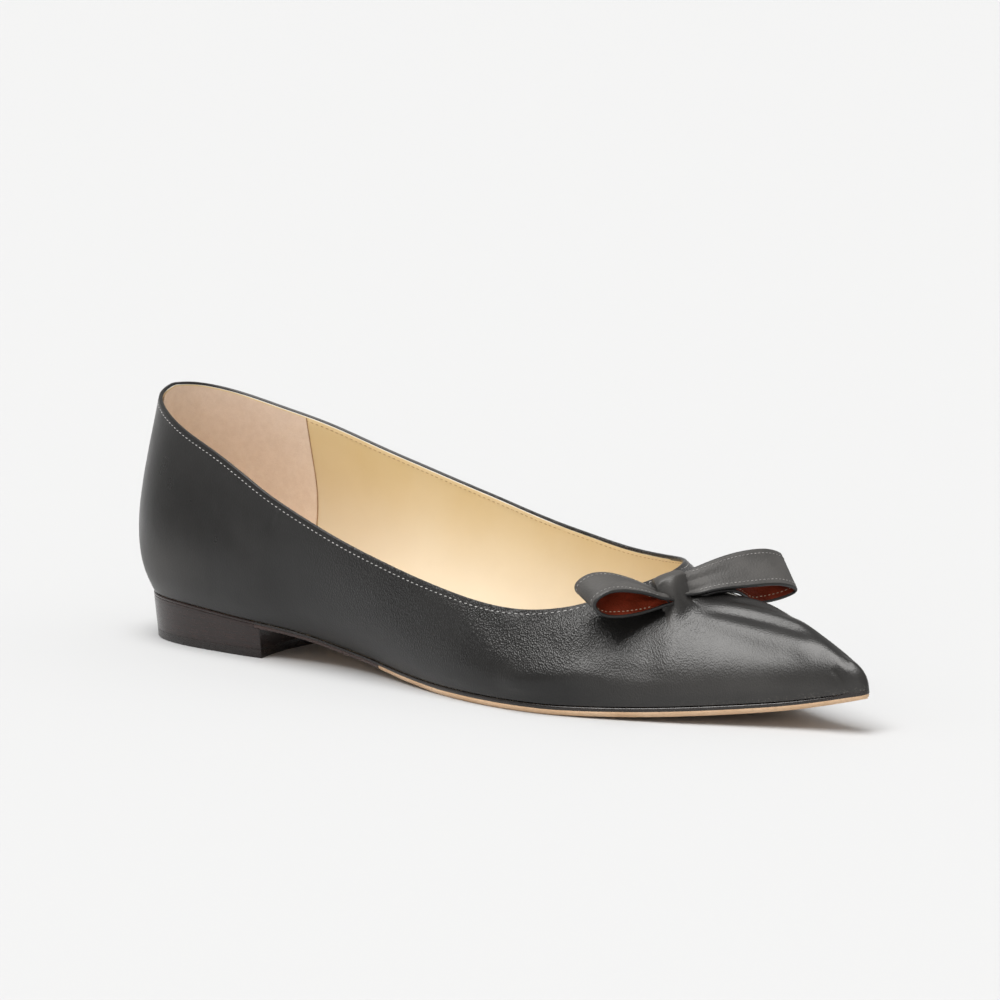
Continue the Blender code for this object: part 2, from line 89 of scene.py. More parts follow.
wallRow = namedtuple("wallRow", "along topAlong topSide topHeight belly rise out drop")
lateralWall = [wallRow(*row) for row in (
    (0.000, -0.003, 0.000, 1.000, 0.140, 0.20, 0.056, 0.30),
    (0.012, 0.009, 0.122, 0.968, 0.138, 0.20, 0.056, 0.29),
    (0.046, 0.049, 0.224, 0.914, 0.122, 0.19, 0.046, 0.27),
    (0.100, 0.104, 0.290, 0.850, 0.104, 0.17, 0.032, 0.24),
    (0.160, 0.166, 0.330, 0.780, 0.096, 0.16, 0.024, 0.22),
    (0.224, 0.232, 0.367, 0.688, 0.108, 0.15, 0.020, 0.20),
    (0.290, 0.289, 0.390, 0.618, 0.124, 0.14, 0.020, 0.18),
    (0.335, 0.346, 0.408, 0.556, 0.124, 0.13, 0.022, 0.17),
    (0.385, 0.403, 0.421, 0.503, 0.112, 0.12, 0.028, 0.15),
    (0.430, 0.460, 0.429, 0.456, 0.096, 0.11, 0.036, 0.13),
    (0.480, 0.517, 0.431, 0.415, 0.078, 0.11, 0.048, 0.11),
    (0.527, 0.574, 0.418, 0.380, 0.066, 0.11, 0.062, 0.10),
    (0.575, 0.620, 0.378, 0.367, 0.058, 0.11, 0.080, 0.09),
    (0.622, 0.656, 0.326, 0.378, 0.052, 0.11, 0.100, 0.08),
    (0.662, 0.691, 0.246, 0.410, 0.048, 0.12, 0.130, 0.07),
    (0.688, 0.719, 0.128, 0.460, 0.044, 0.12, 0.165, 0.05),
)]
medialWall = [wallRow(*row) for row in (
    (0.000, -0.003, 0.000, 1.000, 0.140, 0.20, 0.056, 0.30),
    (0.012, 0.009, 0.122, 0.992, 0.134, 0.20, 0.056, 0.29),
    (0.046, 0.049, 0.222, 0.957, 0.114, 0.19, 0.046, 0.28),
    (0.100, 0.108, 0.284, 0.902, 0.086, 0.18, 0.026, 0.26),
    (0.160, 0.166, 0.340, 0.845, 0.082, 0.17, 0.024, 0.25),
    (0.224, 0.232, 0.378, 0.773, 0.100, 0.17, 0.020, 0.23),
    (0.290, 0.289, 0.405, 0.716, 0.120, 0.17, 0.020, 0.22),
    (0.335, 0.346, 0.426, 0.662, 0.130, 0.16, 0.022, 0.21),
    (0.385, 0.403, 0.443, 0.611, 0.122, 0.15, 0.026, 0.19),
    (0.430, 0.460, 0.454, 0.561, 0.104, 0.15, 0.034, 0.17),
    (0.480, 0.517, 0.456, 0.524, 0.084, 0.14, 0.046, 0.16),
    (0.527, 0.574, 0.446, 0.495, 0.068, 0.14, 0.060, 0.15),
    (0.575, 0.620, 0.418, 0.488, 0.056, 0.14, 0.080, 0.14),
    (0.622, 0.658, 0.372, 0.494, 0.048, 0.14, 0.100, 0.12),
    (0.662, 0.691, 0.304, 0.505, 0.044, 0.14, 0.120, 0.09),
    (0.688, 0.717, 0.206, 0.515, 0.042, 0.13, 0.145, 0.04),
)]

crestRow = namedtuple("crestRow", "along side height tilt belly rise out")
crestRows = [crestRow(*row) for row in (
    (0.738, 0.054, 1.000, 0.10, 0.042, 0.125, 0.480),
    (0.780, 0.088, 0.908, 0.07, 0.040, 0.125, 0.490),
    (0.822, 0.120, 0.838, 0.05, 0.038, 0.120, 0.500),
    (0.864, 0.120, 0.775, 0.04, 0.034, 0.110, 0.500),
    (0.906, 0.092, 0.700, 0.02, 0.026, 0.100, 0.480),
    (0.944, 0.062, 0.608, 0.00, 0.012, 0.085, 0.430),
    (0.972, 0.042, 0.518, 0.00, 0.002, 0.070, 0.280),
)]


def station(along):
    return math.acos(1.0 - 2.0 * min(max(along, 0.0), 1.0)) / math.pi


def alongOf(t):
    return (1.0 - math.cos(math.pi * t)) / 2.0


class rowCurve:
    def __init__(self, places, rows, mirrored=False):
        self.t = np.array(places, float)
        self.v = np.array(rows, float)
        n = len(self.t)
        h = np.diff(self.t)
        a = np.zeros((n, n))
        b = np.zeros_like(self.v)
        a[0, 0] = 1.0
        a[-1, -1] = 1.0
        if mirrored:
            a[0, 0], a[0, 1] = 2.0 * h[0], h[0]
            b[0] = 6.0 * (self.v[1] - self.v[0]) / h[0]
        for i in range(1, n - 1):
            a[i, i - 1], a[i, i], a[i, i + 1] = h[i - 1], 2.0 * (h[i - 1] + h[i]), h[i]
            b[i] = 6.0 * ((self.v[i + 1] - self.v[i]) / h[i] - (self.v[i] - self.v[i - 1]) / h[i - 1])
        self.m = np.linalg.solve(a, b)

    def __call__(self, t):
        t = min(max(t, self.t[0]), self.t[-1])
        i = min(max(int(np.searchsorted(self.t, t)) - 1, 0), len(self.t) - 2)
        h = self.t[i + 1] - self.t[i]
        p, q = (self.t[i + 1] - t) / h, (t - self.t[i]) / h
        bend = ((p ** 3 - p) * self.m[i] + (q ** 3 - q) * self.m[i + 1]) * h * h / 6.0
        return p * self.v[i] + q * self.v[i + 1] + bend


outline = rowCurve([station(r.along) for r in soleRows], [r[1:3] for r in soleRows])
heights = rowCurve([station(r.along) for r in soleRows], [r[3:] for r in soleRows], mirrored=True)


def sideSign(side):
    return -1.0 if side == "lateral" else 1.0


def footNormal(side, t):
    step = 0.004
    k = 0 if side == "lateral" else 1
    low, high = t - step, t + step
    along = [alongOf(v) * shoeLength for v in (low, high)]
    half = [(outline(abs(low))[k] if low >= 0.0 else -outline(-low)[k]) * ballWidth]
    if high <= 1.0:
        half.append(outline(high)[k] * ballWidth)
    else:
        half.append((2.0 * outline(1.0)[k] - outline(2.0 - high)[k]) * ballWidth)
    tangent = Vector((along[1] - along[0], sideSign(side) * (half[1] - half[0]), 0.0)).normalized()
    return Vector((-tangent.y, tangent.x, 0.0)) * sideSign(side)


def footPoint(side, t, inset=0.0):
    half = outline(t)[0 if side == "lateral" else 1] * ballWidth
    point = Vector((alongOf(t) * shoeLength - heelRest, sideSign(side) * half, 0.0))
    return point - footNormal(side, t) * inset


def underside(t):
    heelShare, springShare, _ = heights(t)
    return max(heelShare * heelHeight + springShare * toeSpring - floorTrim, 0.0)


def topside(t):
    return underside(t) + heights(t)[2] * soleThickness


def bezier(p0, p1, p2, p3, t):
    s = 1.0 - t
    return p0 * s ** 3 + p1 * 3.0 * s * s * t + p2 * 3.0 * s * t * t + p3 * t ** 3


def crestReach(foot, row):
    return math.hypot(foot.x - row.along * shoeLength + heelRest, foot.y - row.side * ballWidth)


def wallCurve(side):
    rows, others = (lateralWall, medialWall) if side == "lateral" else (medialWall, lateralWall)
    sign = sideSign(side)
    centre = crestRows[0]
    throat = throatColumn / sideColumns
    reach = centre.out * crestReach(footPoint(side, throat), centre) / ballWidth
    end = (centre.along, sign * centre.side, centre.height * instepHeight / backHeight,
           centre.belly, centre.rise, reach, sign * -centre.tilt * reach)
    places = [station(r.along) for r in rows] + [throat]
    values = [r[1:] for r in rows] + [end]
    for other in others[:-3:-1]:
        places.append(2.0 * throat - station(other.along))
        values.append((other.topAlong, -other.topSide) + other[3:])
    return rowCurve(places, values)


wall = {side: wallCurve(side) for side in ("lateral", "medial")}
crest = rowCurve([r.along for r in crestRows], [r[1:] for r in crestRows])


@lru_cache(maxsize=None)
def columnHandles(side, column):
    # The four points of a column of the upper's outer face
    sign = sideSign(side)
    t = column / sideColumns
    foot = footPoint(side, t) + Vector((0.0, 0.0, topside(t) + pieceGap))
    normal = footNormal(side, t)
    if column >= sideColumns:
        normal = Vector((1.0, 0.0, 0.0))
    if column <= 0:
        normal = Vector((-1.0, 0.0, 0.0))
    if column < throatColumn:
        topAlong, topSide, topHeight, belly, rise, out, drop = wall[side](t)
        top = Vector((topAlong * shoeLength - heelRest, sign * topSide * ballWidth, topHeight * backHeight))
        turn = min(max((t - 0.38) / 0.22, 0.0), 1.0)
        level = normal.lerp(Vector((0.0, sign, 0.0)), turn * turn * (3.0 - 2.0 * turn)).normalized()
        high = top + (level * out - Vector((0.0, 0.0, drop))) * ballWidth
    else:
        share = (column - throatColumn) / (sideColumns - throatColumn)
        first, last = crestRows[0].along, crestRows[-1].along
        along = first + (last - first) * math.sin(share * math.pi / 2.0)
        crestSide, height, tilt, belly, rise, out = crest(along)
        top = Vector((along * shoeLength - heelRest, crestSide * ballWidth, height * instepHeight))
        level = Vector((0.0, sign, sign * tilt))
        if column >= sideColumns:
            level = Vector((1.0, 0.0, 0.0))
        high = top + level * out * math.hypot(foot.x - top.x, foot.y - top.y)
    low = foot + (normal * belly + Vector((0.0, 0.0, rise))) * ballWidth
    return foot, low, high, top


def shellPoint(side, column, v):
    return bezier(*columnHandles(side, column), v)


def shellNormal(side, column, v):
    # Outward normal of the outer face
    a, b = max(column - 0.2, 0.0), min(column + 0.2, throatColumn + 18.0)
    low, high = max(v - 0.02, 0.0), min(v + 0.02, 1.0)
    around = shellPoint(side, b, v) - shellPoint(side, a, v)
    if a == 0.0:
        other = shellPoint("medial" if side == "lateral" else "lateral", b, v)
        around = shellPoint(side, b, v) - other
    upwards = shellPoint(side, column, high) - shellPoint(side, column, low)
    return around.cross(upwards).normalized() * -sideSign(side)


def topShare(side, column, distance):
    # The share of a column that leaves this distance free at its top
    handles = columnHandles(side, column)
    reach = (bezier(*handles, 1.0) - bezier(*handles, 0.97)).length / 0.03
    return 1.0 - distance / reach


print("stage: shoe curves ready")


# Building helpers

def deselect():
    for obj in bpy.context.selected_objects:
        obj.select_set(False)


def activate(obj):
    deselect()
    obj.select_set(True)
    bpy.context.view_layer.objects.active = obj


def addObject(name, mesh, materials, replaced=None, outwards=False):
    mesh.name = name
    obj = bpy.data.objects.new(name, mesh)
    bpy.context.scene.collection.objects.link(obj)
    for material in materials:
        obj.data.materials.append(material)
    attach(obj, "root")
    if replaced:
        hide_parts(replaced)
    if outwards:
        fixNormals(obj)
    return obj


def applyModifiers(obj):
    activate(obj)
    for modifier in list(obj.modifiers):
        bpy.ops.object.modifier_apply(modifier=modifier.name)


def meshFrom(points, faces, slots=None, sharp=None):
    mesh = bpy.data.meshes.new("mesh")
    mesh.from_pydata([tuple(p) for p in points], [], faces)
    mesh.update()
    if slots is not None:
        mesh.polygons.foreach_set("material_index", slots)
    mesh.shade_smooth()
    if sharp:
        mesh.set_sharp_from_angle(angle=math.radians(sharp))
    return mesh


def fixNormals(obj):
    activate(obj)
    bpy.ops.object.mode_set(mode="EDIT")
    bpy.ops.mesh.select_all(action="SELECT")
    bpy.ops.mesh.normals_make_consistent(inside=False)
    bpy.ops.object.mode_set(mode="OBJECT")


def gridFaces(rows, columns, start=0, closed=False, flip=False):
    faces = []
    for i in range(rows - 1):
        for k in range(columns if closed else columns - 1):
            n = (k + 1) % columns
            a, b = start + i * columns + k, start + i * columns + n
            face = (a, b, b + columns, a + columns)
            faces.append(face[::-1] if flip else face)
    return faces


def across(t, inset, height, bow=0.0, steps=8):
    # Points across the shoe at a station; bow bends the line towards the heel in its middle
    width = (footPoint("medial", t) - footPoint("lateral", t)).length
    near = footPoint("lateral", t, min(inset, 0.3 * width))
    far = footPoint("medial", t, min(inset, 0.3 * width))
    line = []
    for k in range(steps + 1):
        share = k / steps
        point = near.lerp(far, share)
        point.x -= bow * 4.0 * share * (1.0 - share)
        point.z = height(t, point)
        line.append(point)
    return line


def plateMesh(grids, sharp, slotOf=lambda level, p: 0):
    # Closed plate: the first grid is its underside, the last its upper face, the rest edge rings
    rows, columns = len(grids[0]), len(grids[0][0])
    rim = [(0, k) for k in range(columns)] + [(i, columns - 1) for i in range(1, rows)]
    rim += [(rows - 1, k) for k in range(columns - 2, -1, -1)] + [(i, 0) for i in range(rows - 2, 0, -1)]
    points, faces, slots = [], [], []
    for grid, flip in ((grids[0], False), (grids[-1], True)):
        start = len(points)
        points += [p for line in grid for p in line]
        new = gridFaces(rows, columns, start, flip=flip)
        faces += new
        slots += [slotOf(0 if not flip else len(grids), points[f[0]]) for f in new]
    size = rows * columns
    rings = [[i * columns + k for i, k in rim]]
    for grid in grids[1:-1]:
        rings.append(list(range(len(points), len(points) + len(rim))))
        points += [grid[i][k] for i, k in rim]
    rings.append([size + i * columns + k for i, k in rim])
    for level, (a, b) in enumerate(zip(rings, rings[1:])):
        for n in range(len(rim)):
            m = (n + 1) % len(rim)
            faces.append((a[n], a[m], b[m], b[n]))
            slots.append(slotOf(level + 1, points[a[n]]))
    return meshFrom(points, faces, slots, sharp)


def resample(points, pitch):
    # Evenly spaced places along a line of points, with the way it runs there
    points = [Vector(p) for p in points]
    lengths = [0.0]
    for a, b in zip(points, points[1:]):
        lengths.append(lengths[-1] + (b - a).length)
    count = max(int(lengths[-1] / pitch), 1)
    places = []
    k = 0
    for n in range(count):
        s = (n + 0.5) * lengths[-1] / count
        while k < len(points) - 2 and lengths[k + 1] < s:
            k += 1
        share = (s - lengths[k]) / max(lengths[k + 1] - lengths[k], 1e-9)
        places.append((points[k].lerp(points[k + 1], share), (points[k + 1] - points[k]).normalized()))
    return places


def stitchMesh(runs, settings):
    # Short rounded threads, each arched into the leather at both ends
    rnd = random.Random(settings["seed"])
    points, faces = [], []
    sides, rings = 6, (-1.0, -0.86, -0.45, 0.0, 0.45, 0.86, 1.0)
    for place, way, normal in runs:
        start = len(points)
        length = settings["length"] * rnd.uniform(0.92, 1.06)
        beside = normal.cross(way).normalized()
        way = (way + beside * (settings["slant"] + rnd.uniform(-0.05, 0.05))).normalized()
        beside = normal.cross(way).normalized()
        for ring in rings:
            thick = settings["radius"] * math.sqrt(max(1.0 - abs(ring) ** 3, 0.02))
            lift = settings["radius"] * (0.55 - 1.2 * ring * ring)
            centre = place + way * ring * length / 2.0 + normal * lift
            for k in range(sides):
                angle = 2.0 * math.pi * k / sides
                points.append(centre + (beside * math.cos(angle) + normal * math.sin(angle) * 0.8) * thick)
        faces += gridFaces(len(rings), sides, start, closed=True)
        faces.append(tuple(start + k for k in range(sides))[::-1])
        faces.append(tuple(start + (len(rings) - 1) * sides + k for k in range(sides)))
    return meshFrom(points, faces)


# Shader helpers

def makeMaterial(name):
    material = bpy.data.materials.new(name)
    material.use_nodes = True
    tree = material.node_tree
    tree.nodes.clear()
    output = tree.nodes.new("ShaderNodeOutputMaterial")
    shader = tree.nodes.new("ShaderNodeBsdfPrincipled")
    tree.links.new(shader.outputs["BSDF"], output.inputs["Surface"])
    return material, tree, shader


def fill(tree, node, inputs):
    # A socket is linked, a plain value is set on the node's own socket
    for key, value in inputs.items():
        if hasattr(value, "links"):
            tree.links.new(value, node.inputs[key])
        else:
            node.inputs[key].default_value = value


def addNode(tree, kind, inputs=None, **settings):
    node = tree.nodes.new(kind)
    for key, value in settings.items():
        setattr(node, key, value)
    fill(tree, node, inputs or {})
    return node


def objectPlace(tree):
    return addNode(tree, "ShaderNodeTexCoord").outputs["Object"]


def mixColour(tree, factor, a, b):
    a, b = (value if hasattr(value, "links") else (*value, 1.0) for value in (a, b))
    return addNode(tree, "ShaderNodeMix", {"Factor": factor, 6: a, 7: b}, data_type="RGBA").outputs[2]


def ramp(tree, value, low, high, outLow=0.0, outHigh=1.0):
    inputs = {"Value": value, "From Min": low, "From Max": high, "To Min": outLow, "To Max": outHigh}
    return addNode(tree, "ShaderNodeMapRange", inputs, interpolation_type="SMOOTHSTEP").outputs["Result"]


def math2(tree, operation, a, b):
    return addNode(tree, "ShaderNodeMath", {0: a, 1: b}, operation=operation).outputs[0]


def bumps(tree, height, strength, distance, normal=None):
    inputs = {"Height": height, "Strength": strength, "Distance": distance}
    if normal:
        inputs["Normal"] = normal
    return addNode(tree, "ShaderNodeBump", inputs).outputs["Normal"]


def noiseValue(tree, place, scale, detail=3.0, roughness=0.5):
    inputs = {"Vector": place, "Scale": scale, "Detail": detail, "Roughness": roughness}
    return addNode(tree, "ShaderNodeTexNoise", inputs).outputs["Fac"]


def stretchedPlace(tree, place, upright):
    return addNode(tree, "ShaderNodeMapping", {"Vector": place, "Scale": (1.0, 1.0, upright)}).outputs[0]


def groupSocket(group, name, direction, kind, value=None):
    socket = group.interface.new_socket(name=name, in_out=direction, socket_type=kind)
    if value is not None:
        socket.default_value = value
    return socket


def makeGrainGroup():
    # Pebbled leather grain: its height, and a finer second height
    group = bpy.data.node_groups.new("leatherGrain", "ShaderNodeTree")
    groupSocket(group, "Place", "INPUT", "NodeSocketVector")
    groupSocket(group, "Size", "INPUT", "NodeSocketFloat", 1300.0)
    groupSocket(group, "Pebbles", "OUTPUT", "NodeSocketFloat")
    groupSocket(group, "Pores", "OUTPUT", "NodeSocketFloat")
    start = group.nodes.new("NodeGroupInput")
    end = group.nodes.new("NodeGroupOutput")
    place, size = start.outputs["Place"], start.outputs["Size"]
    warp = addNode(group, "ShaderNodeTexNoise", {"Vector": place, "Scale": 700.0, "Detail": 2.0})
    moved = addNode(group, "ShaderNodeVectorMath", {0: warp.outputs["Color"], 1: (0.0004, 0.0004, 0.0004)},
                    operation="MULTIPLY").outputs[0]
    moved = addNode(group, "ShaderNodeVectorMath", {0: place, 1: moved}, operation="ADD").outputs[0]
    drawn = stretchedPlace(group, moved, 0.62)
    cells = addNode(group, "ShaderNodeTexVoronoi", {"Vector": drawn, "Scale": size}, feature="F1")
    fine = addNode(group, "ShaderNodeTexNoise", {"Vector": place, "Scale": 3200.0, "Detail": 3.0})
    group.links.new(cells.outputs["Distance"], end.inputs["Pebbles"])
    group.links.new(fine.outputs["Fac"], end.inputs["Pores"])
    return group


grainGroup = makeGrainGroup()


def grainHeights(tree, place, size):
    node = addNode(tree, "ShaderNodeGroup", node_tree=grainGroup)
    fill(tree, node, {"Place": place, "Size": size})
    return node.outputs["Pebbles"], node.outputs["Pores"]


def attributeValue(tree, name):
    return addNode(tree, "ShaderNodeAttribute", attribute_name=name).outputs["Fac"]


def makeNappa():
    # Charcoal nappa: grain, scuffs and a painted highlight (lighter, rougher leather) follow the piece's own
    # painted attributes
    material, tree, shader = makeMaterial("nappaLeather")
    place = objectPlace(tree)
    grain = attributeValue(tree, "grain")
    scuff = attributeValue(tree, "scuff")
    pebbles, pores = grainHeights(tree, place, 2300.0)
    patches = noiseValue(tree, place, 60.0, 4.0)
    dark = mixColour(tree, ramp(tree, patches, 0.35, 0.7), (0.0060, 0.0057, 0.0054), (0.0095, 0.0090, 0.0085))
    streaks = ramp(tree, noiseValue(tree, place, 1900.0, 4.0, 0.65), 0.52, 0.72)
    worn = math2(tree, "MULTIPLY", streaks, scuff)
    # Painted highlight: the painted attribute lifts the colour to a pale grey and raises the roughness
    paintedHighlight = math2(tree, "MULTIPLY", attributeValue(tree, "paintedHighlight"), ramp(tree, patches, 0.25, 0.75, 0.75, 1.0))
    highlightedTone = mixColour(tree, paintedHighlight, dark, (0.056, 0.053, 0.050))
    rough = ramp(tree, patches, 0.3, 0.75, 0.27, 0.33)
    rough = math2(tree, "ADD", rough, math2(tree, "MULTIPLY", scuff, 0.15))
    rough = math2(tree, "ADD", rough, math2(tree, "MULTIPLY", paintedHighlight, 0.22))
    normal = bumps(tree, noiseValue(tree, place, 240.0, 2.0), 0.12, 0.00030)
    normal = bumps(tree, pebbles, grain, 0.00024, normal)
    normal = bumps(tree, pores, 0.35, 0.00006, normal)
    fill(tree, shader, {"Base Color": mixColour(tree, worn, highlightedTone, (0.20, 0.185, 0.165)),
                        "Roughness": rough, "Specular IOR Level": 0.46, "Normal": normal})
    return material


def makePlainLeather(name, low, high, roughness, grainSize, grainDepth, coat=0.0):
    material, tree, shader = makeMaterial(name)
    place = objectPlace(tree)
    pebbles, pores = grainHeights(tree, place, grainSize)
    patches = noiseValue(tree, place, 150.0, 4.0)
    normal = bumps(tree, pebbles, 0.6, grainDepth)
    normal = bumps(tree, pores, 0.25, 0.00008, normal)
    fill(tree, shader, {"Base Color": mixColour(tree, ramp(tree, patches, 0.3, 0.7), low, high),
                        "Roughness": ramp(tree, patches, 0.3, 0.7, roughness - 0.05, roughness + 0.05),
                        "Coat Weight": coat, "Coat Roughness": 0.25, "Normal": normal})
    return material


def makeLiningLeather():
    # Gold near the topline and paler low down, with faint upright crinkles towards the throat
    material, tree, shader = makeMaterial("liningLeather")
    place = objectPlace(tree)
    split = addNode(tree, "ShaderNodeSeparateXYZ", {0: place})
    drift = math2(tree, "MULTIPLY", noiseValue(tree, place, 30.0, 2.0), 0.012)
    level = math2(tree, "ADD", split.outputs["Z"], drift)
    forward = math2(tree, "MULTIPLY", split.outputs["X"], 0.13)
    gold = ramp(tree, math2(tree, "ADD", level, forward), 0.030, 0.066)
    tone = mixColour(tree, gold, (0.76, 0.655, 0.50), (0.71, 0.545, 0.29))
    cloud = ramp(tree, noiseValue(tree, place, 70.0, 3.0), 0.3, 0.7, 0.0, 0.10)
    crinkles = noiseValue(tree, stretchedPlace(tree, place, 0.35), 420.0, 3.0)
    throat = ramp(tree, split.outputs["X"], 0.06, 0.14, 0.10, 0.45)
    normal = bumps(tree, crinkles, throat, 0.00035)
    normal = bumps(tree, noiseValue(tree, place, 2600.0, 2.0), 0.2, 0.00005, normal)
    fill(tree, shader, {"Base Color": mixColour(tree, cloud, tone, (0.90, 0.80, 0.62)),
                        "Roughness": 0.42, "Normal": normal})
    return material


def makeSuede(name, low, high):
    material, tree, shader = makeMaterial(name)
    place = objectPlace(tree)
    blotches = noiseValue(tree, place, 420.0, 6.0, 0.72)
    nap = noiseValue(tree, place, 2600.0, 4.0, 0.7)
    tone = mixColour(tree, ramp(tree, blotches, 0.3, 0.7), low, high)
    fleck = ramp(tree, nap, 0.55, 0.75, 0.0, 0.22)
    fill(tree, shader, {"Base Color": mixColour(tree, fleck, tone, tuple(c * 0.55 for c in low)),
                        "Roughness": 0.92, "Sheen Weight": 0.25, "Sheen Roughness": 0.45,
                        "Normal": bumps(tree, nap, 0.5, 0.0003)})
    return material


def makeStacked():
    # Dark polished heel with faint lines where its layers meet
    material, tree, shader = makeMaterial("stackedHeel")
    place = objectPlace(tree)
    split = addNode(tree, "ShaderNodeSeparateXYZ", {0: place})
    wobble = math2(tree, "MULTIPLY", noiseValue(tree, place, 60.0, 3.0), 0.0009)
    level = math2(tree, "MULTIPLY", math2(tree, "ADD", split.outputs["Z"], wobble), 420.0)
    layer = math2(tree, "PINGPONG", level, 0.5)
    line = ramp(tree, layer, 0.0, 0.10, 1.0, 0.0)
    fibres = noiseValue(tree, stretchedPlace(tree, place, 9.0), 420.0, 4.0)
    base = mixColour(tree, ramp(tree, fibres, 0.3, 0.75), (0.011, 0.0052, 0.0043), (0.024, 0.0100, 0.0078))
    colour = mixColour(tree, math2(tree, "MULTIPLY", line, 0.7), base, (0.006, 0.004, 0.004))
    normal = bumps(tree, line, 0.12, 0.00006, bumps(tree, fibres, 0.05, 0.00006))
    fill(tree, shader, {"Base Color": colour, "Roughness": ramp(tree, fibres, 0.3, 0.7, 0.20, 0.28),
                        "Normal": normal})
    return material


def makeSoleLeather(name, low, high, roughness, coat):
    material, tree, shader = makeMaterial(name)
    place = objectPlace(tree)
    fibres = noiseValue(tree, stretchedPlace(tree, place, 5.0), 700.0, 5.0, 0.65)
    blotches = noiseValue(tree, place, 90.0, 4.0)
    tone = mixColour(tree, ramp(tree, blotches, 0.3, 0.7), low, high)
    colour = mixColour(tree, ramp(tree, fibres, 0.45, 0.75, 0.0, 0.55), tone, tuple(c * 0.62 for c in low))
    fill(tree, shader, {"Base Color": colour,
                        "Roughness": ramp(tree, fibres, 0.3, 0.7, roughness - 0.06, roughness + 0.08),
                        "Coat Weight": coat, "Coat Roughness": 0.18,
                        "Normal": bumps(tree, fibres, 0.3, 0.00012)})
    return material


def makeThread(name, low, high):
    material, tree, shader = makeMaterial(name)
    twist = noiseValue(tree, objectPlace(tree), 1800.0, 3.0)
    fill(tree, shader, {"Base Color": mixColour(tree, ramp(tree, twist, 0.35, 0.65), low, high),
                        "Roughness": 0.62, "Sheen Weight": 0.2, "Normal": bumps(tree, twist, 0.4, 0.00008)})
    return material


nappa = makeNappa()
bowLeather = makePlainLeather("bowLeather", (0.046, 0.044, 0.042), (0.066, 0.063, 0.060),
                              0.55, 1700.0, 0.00012)
bowEdge = makePlainLeather("bowEdge", (0.008, 0.0078, 0.0076), (0.014, 0.0135, 0.013),
                           0.42, 1500.0, 0.0001, 0.1)
bowLining = makePlainLeather("bowLining", (0.185, 0.026, 0.009), (0.290, 0.044, 0.016), 0.46, 1500.0, 0.00014)
liningLeather = makeLiningLeather()
liningEdge = makePlainLeather("liningEdge", (0.78, 0.74, 0.67), (0.86, 0.83, 0.77), 0.6, 2400.0, 0.00006)
gripSuede = makeSuede("gripSuede", (0.77, 0.615, 0.50), (0.83, 0.68, 0.565))
gripEdge = makeSuede("gripEdge", (0.36, 0.21, 0.12), (0.46, 0.29, 0.18))
stackedHeel = makeStacked()
topPiece = makeSoleLeather("topPiece", (0.009, 0.0055, 0.0048), (0.015, 0.009, 0.0075), 0.28, 0.0)
soleTan = makeSoleLeather("soleTan", (0.62, 0.40, 0.23), (0.72, 0.50, 0.32), 0.50, 0.05)
soleDark = makeSoleLeather("soleDark", (0.009, 0.0065, 0.0058), (0.016, 0.011, 0.0095), 0.24, 0.2)
soleBrown = makeSoleLeather("soleBrown", (0.032, 0.015, 0.012), (0.055, 0.026, 0.020), 0.28, 0.2)
threadPale = makeThread("threadPale", (0.34, 0.335, 0.33), (0.52, 0.51, 0.50))
threadGrey = makeThread("threadGrey", (0.20, 0.195, 0.19), (0.34, 0.33, 0.32))
threadTan = makeThread("threadTan", (0.40, 0.25, 0.12), (0.52, 0.35, 0.19))
threadCream = makeThread("threadCream", (0.62, 0.50, 0.36), (0.74, 0.63, 0.48))
print("stage: materials ready")


# Upper: the shell with its folded topline, pressed creases and painted masks

upperSettings = {
    "levels": 3,
    "foldRadius": 0.62 * mm,
    "foldSteps": 7,
    "foldInside": 0.5 * mm,
    "restless": 0.07 * mm,
}

# Creases: points as shares of shoeLength and ballWidth, dropped onto the vamp; width and height in mm
topCrease = namedtuple("topCrease", "width height points")
topCreases = [topCrease(*row) for row in (
    (7.5, -0.85, ((0.772, -0.040), (0.786, 0.060), (0.800, 0.160), (0.812, 0.260))),
    (2.6, 0.42, ((0.783, -0.065), (0.820, 0.015), (0.863, 0.064), (0.900, 0.080), (0.935, 0.075))),
    (2.0, -0.42, ((0.790, -0.085), (0.822, -0.022), (0.865, 0.022), (0.902, 0.040), (0.930, 0.038))),
    (3.2, 0.45, ((0.781, -0.118), (0.825, -0.070), (0.872, -0.036), (0.919, -0.008), (0.945, 0.002))),
    (2.6, -0.25, ((0.775, -0.150), (0.812, -0.120), (0.858, -0.092), (0.905, -0.058))),
    (2.2, -0.30, ((0.795, 0.020), (0.830, 0.085), (0.868, 0.115), (0.900, 0.118))),
    (2.6, 0.22, ((0.800, 0.090), (0.835, 0.150), (0.870, 0.165), (0.905, 0.150))),
    (9.0, -0.70, ((0.690, -0.330), (0.730, -0.325), (0.765, -0.285), (0.795, -0.235))),
    (0.9, -0.13, ((0.962, 0.060), (0.972, 0.058), (0.981, 0.050))),
    (0.9, -0.12, ((0.964, 0.020), (0.975, 0.018), (0.985, 0.016))),
    (0.8, -0.12, ((0.961, -0.018), (0.971, -0.020), (0.980, -0.020))),
    (0.8, 0.08, ((0.963, 0.001), (0.973, -0.001), (0.983, -0.002))),
    (0.8, 0.08, ((0.963, 0.040), (0.974, 0.038), (0.984, 0.034))),
)]

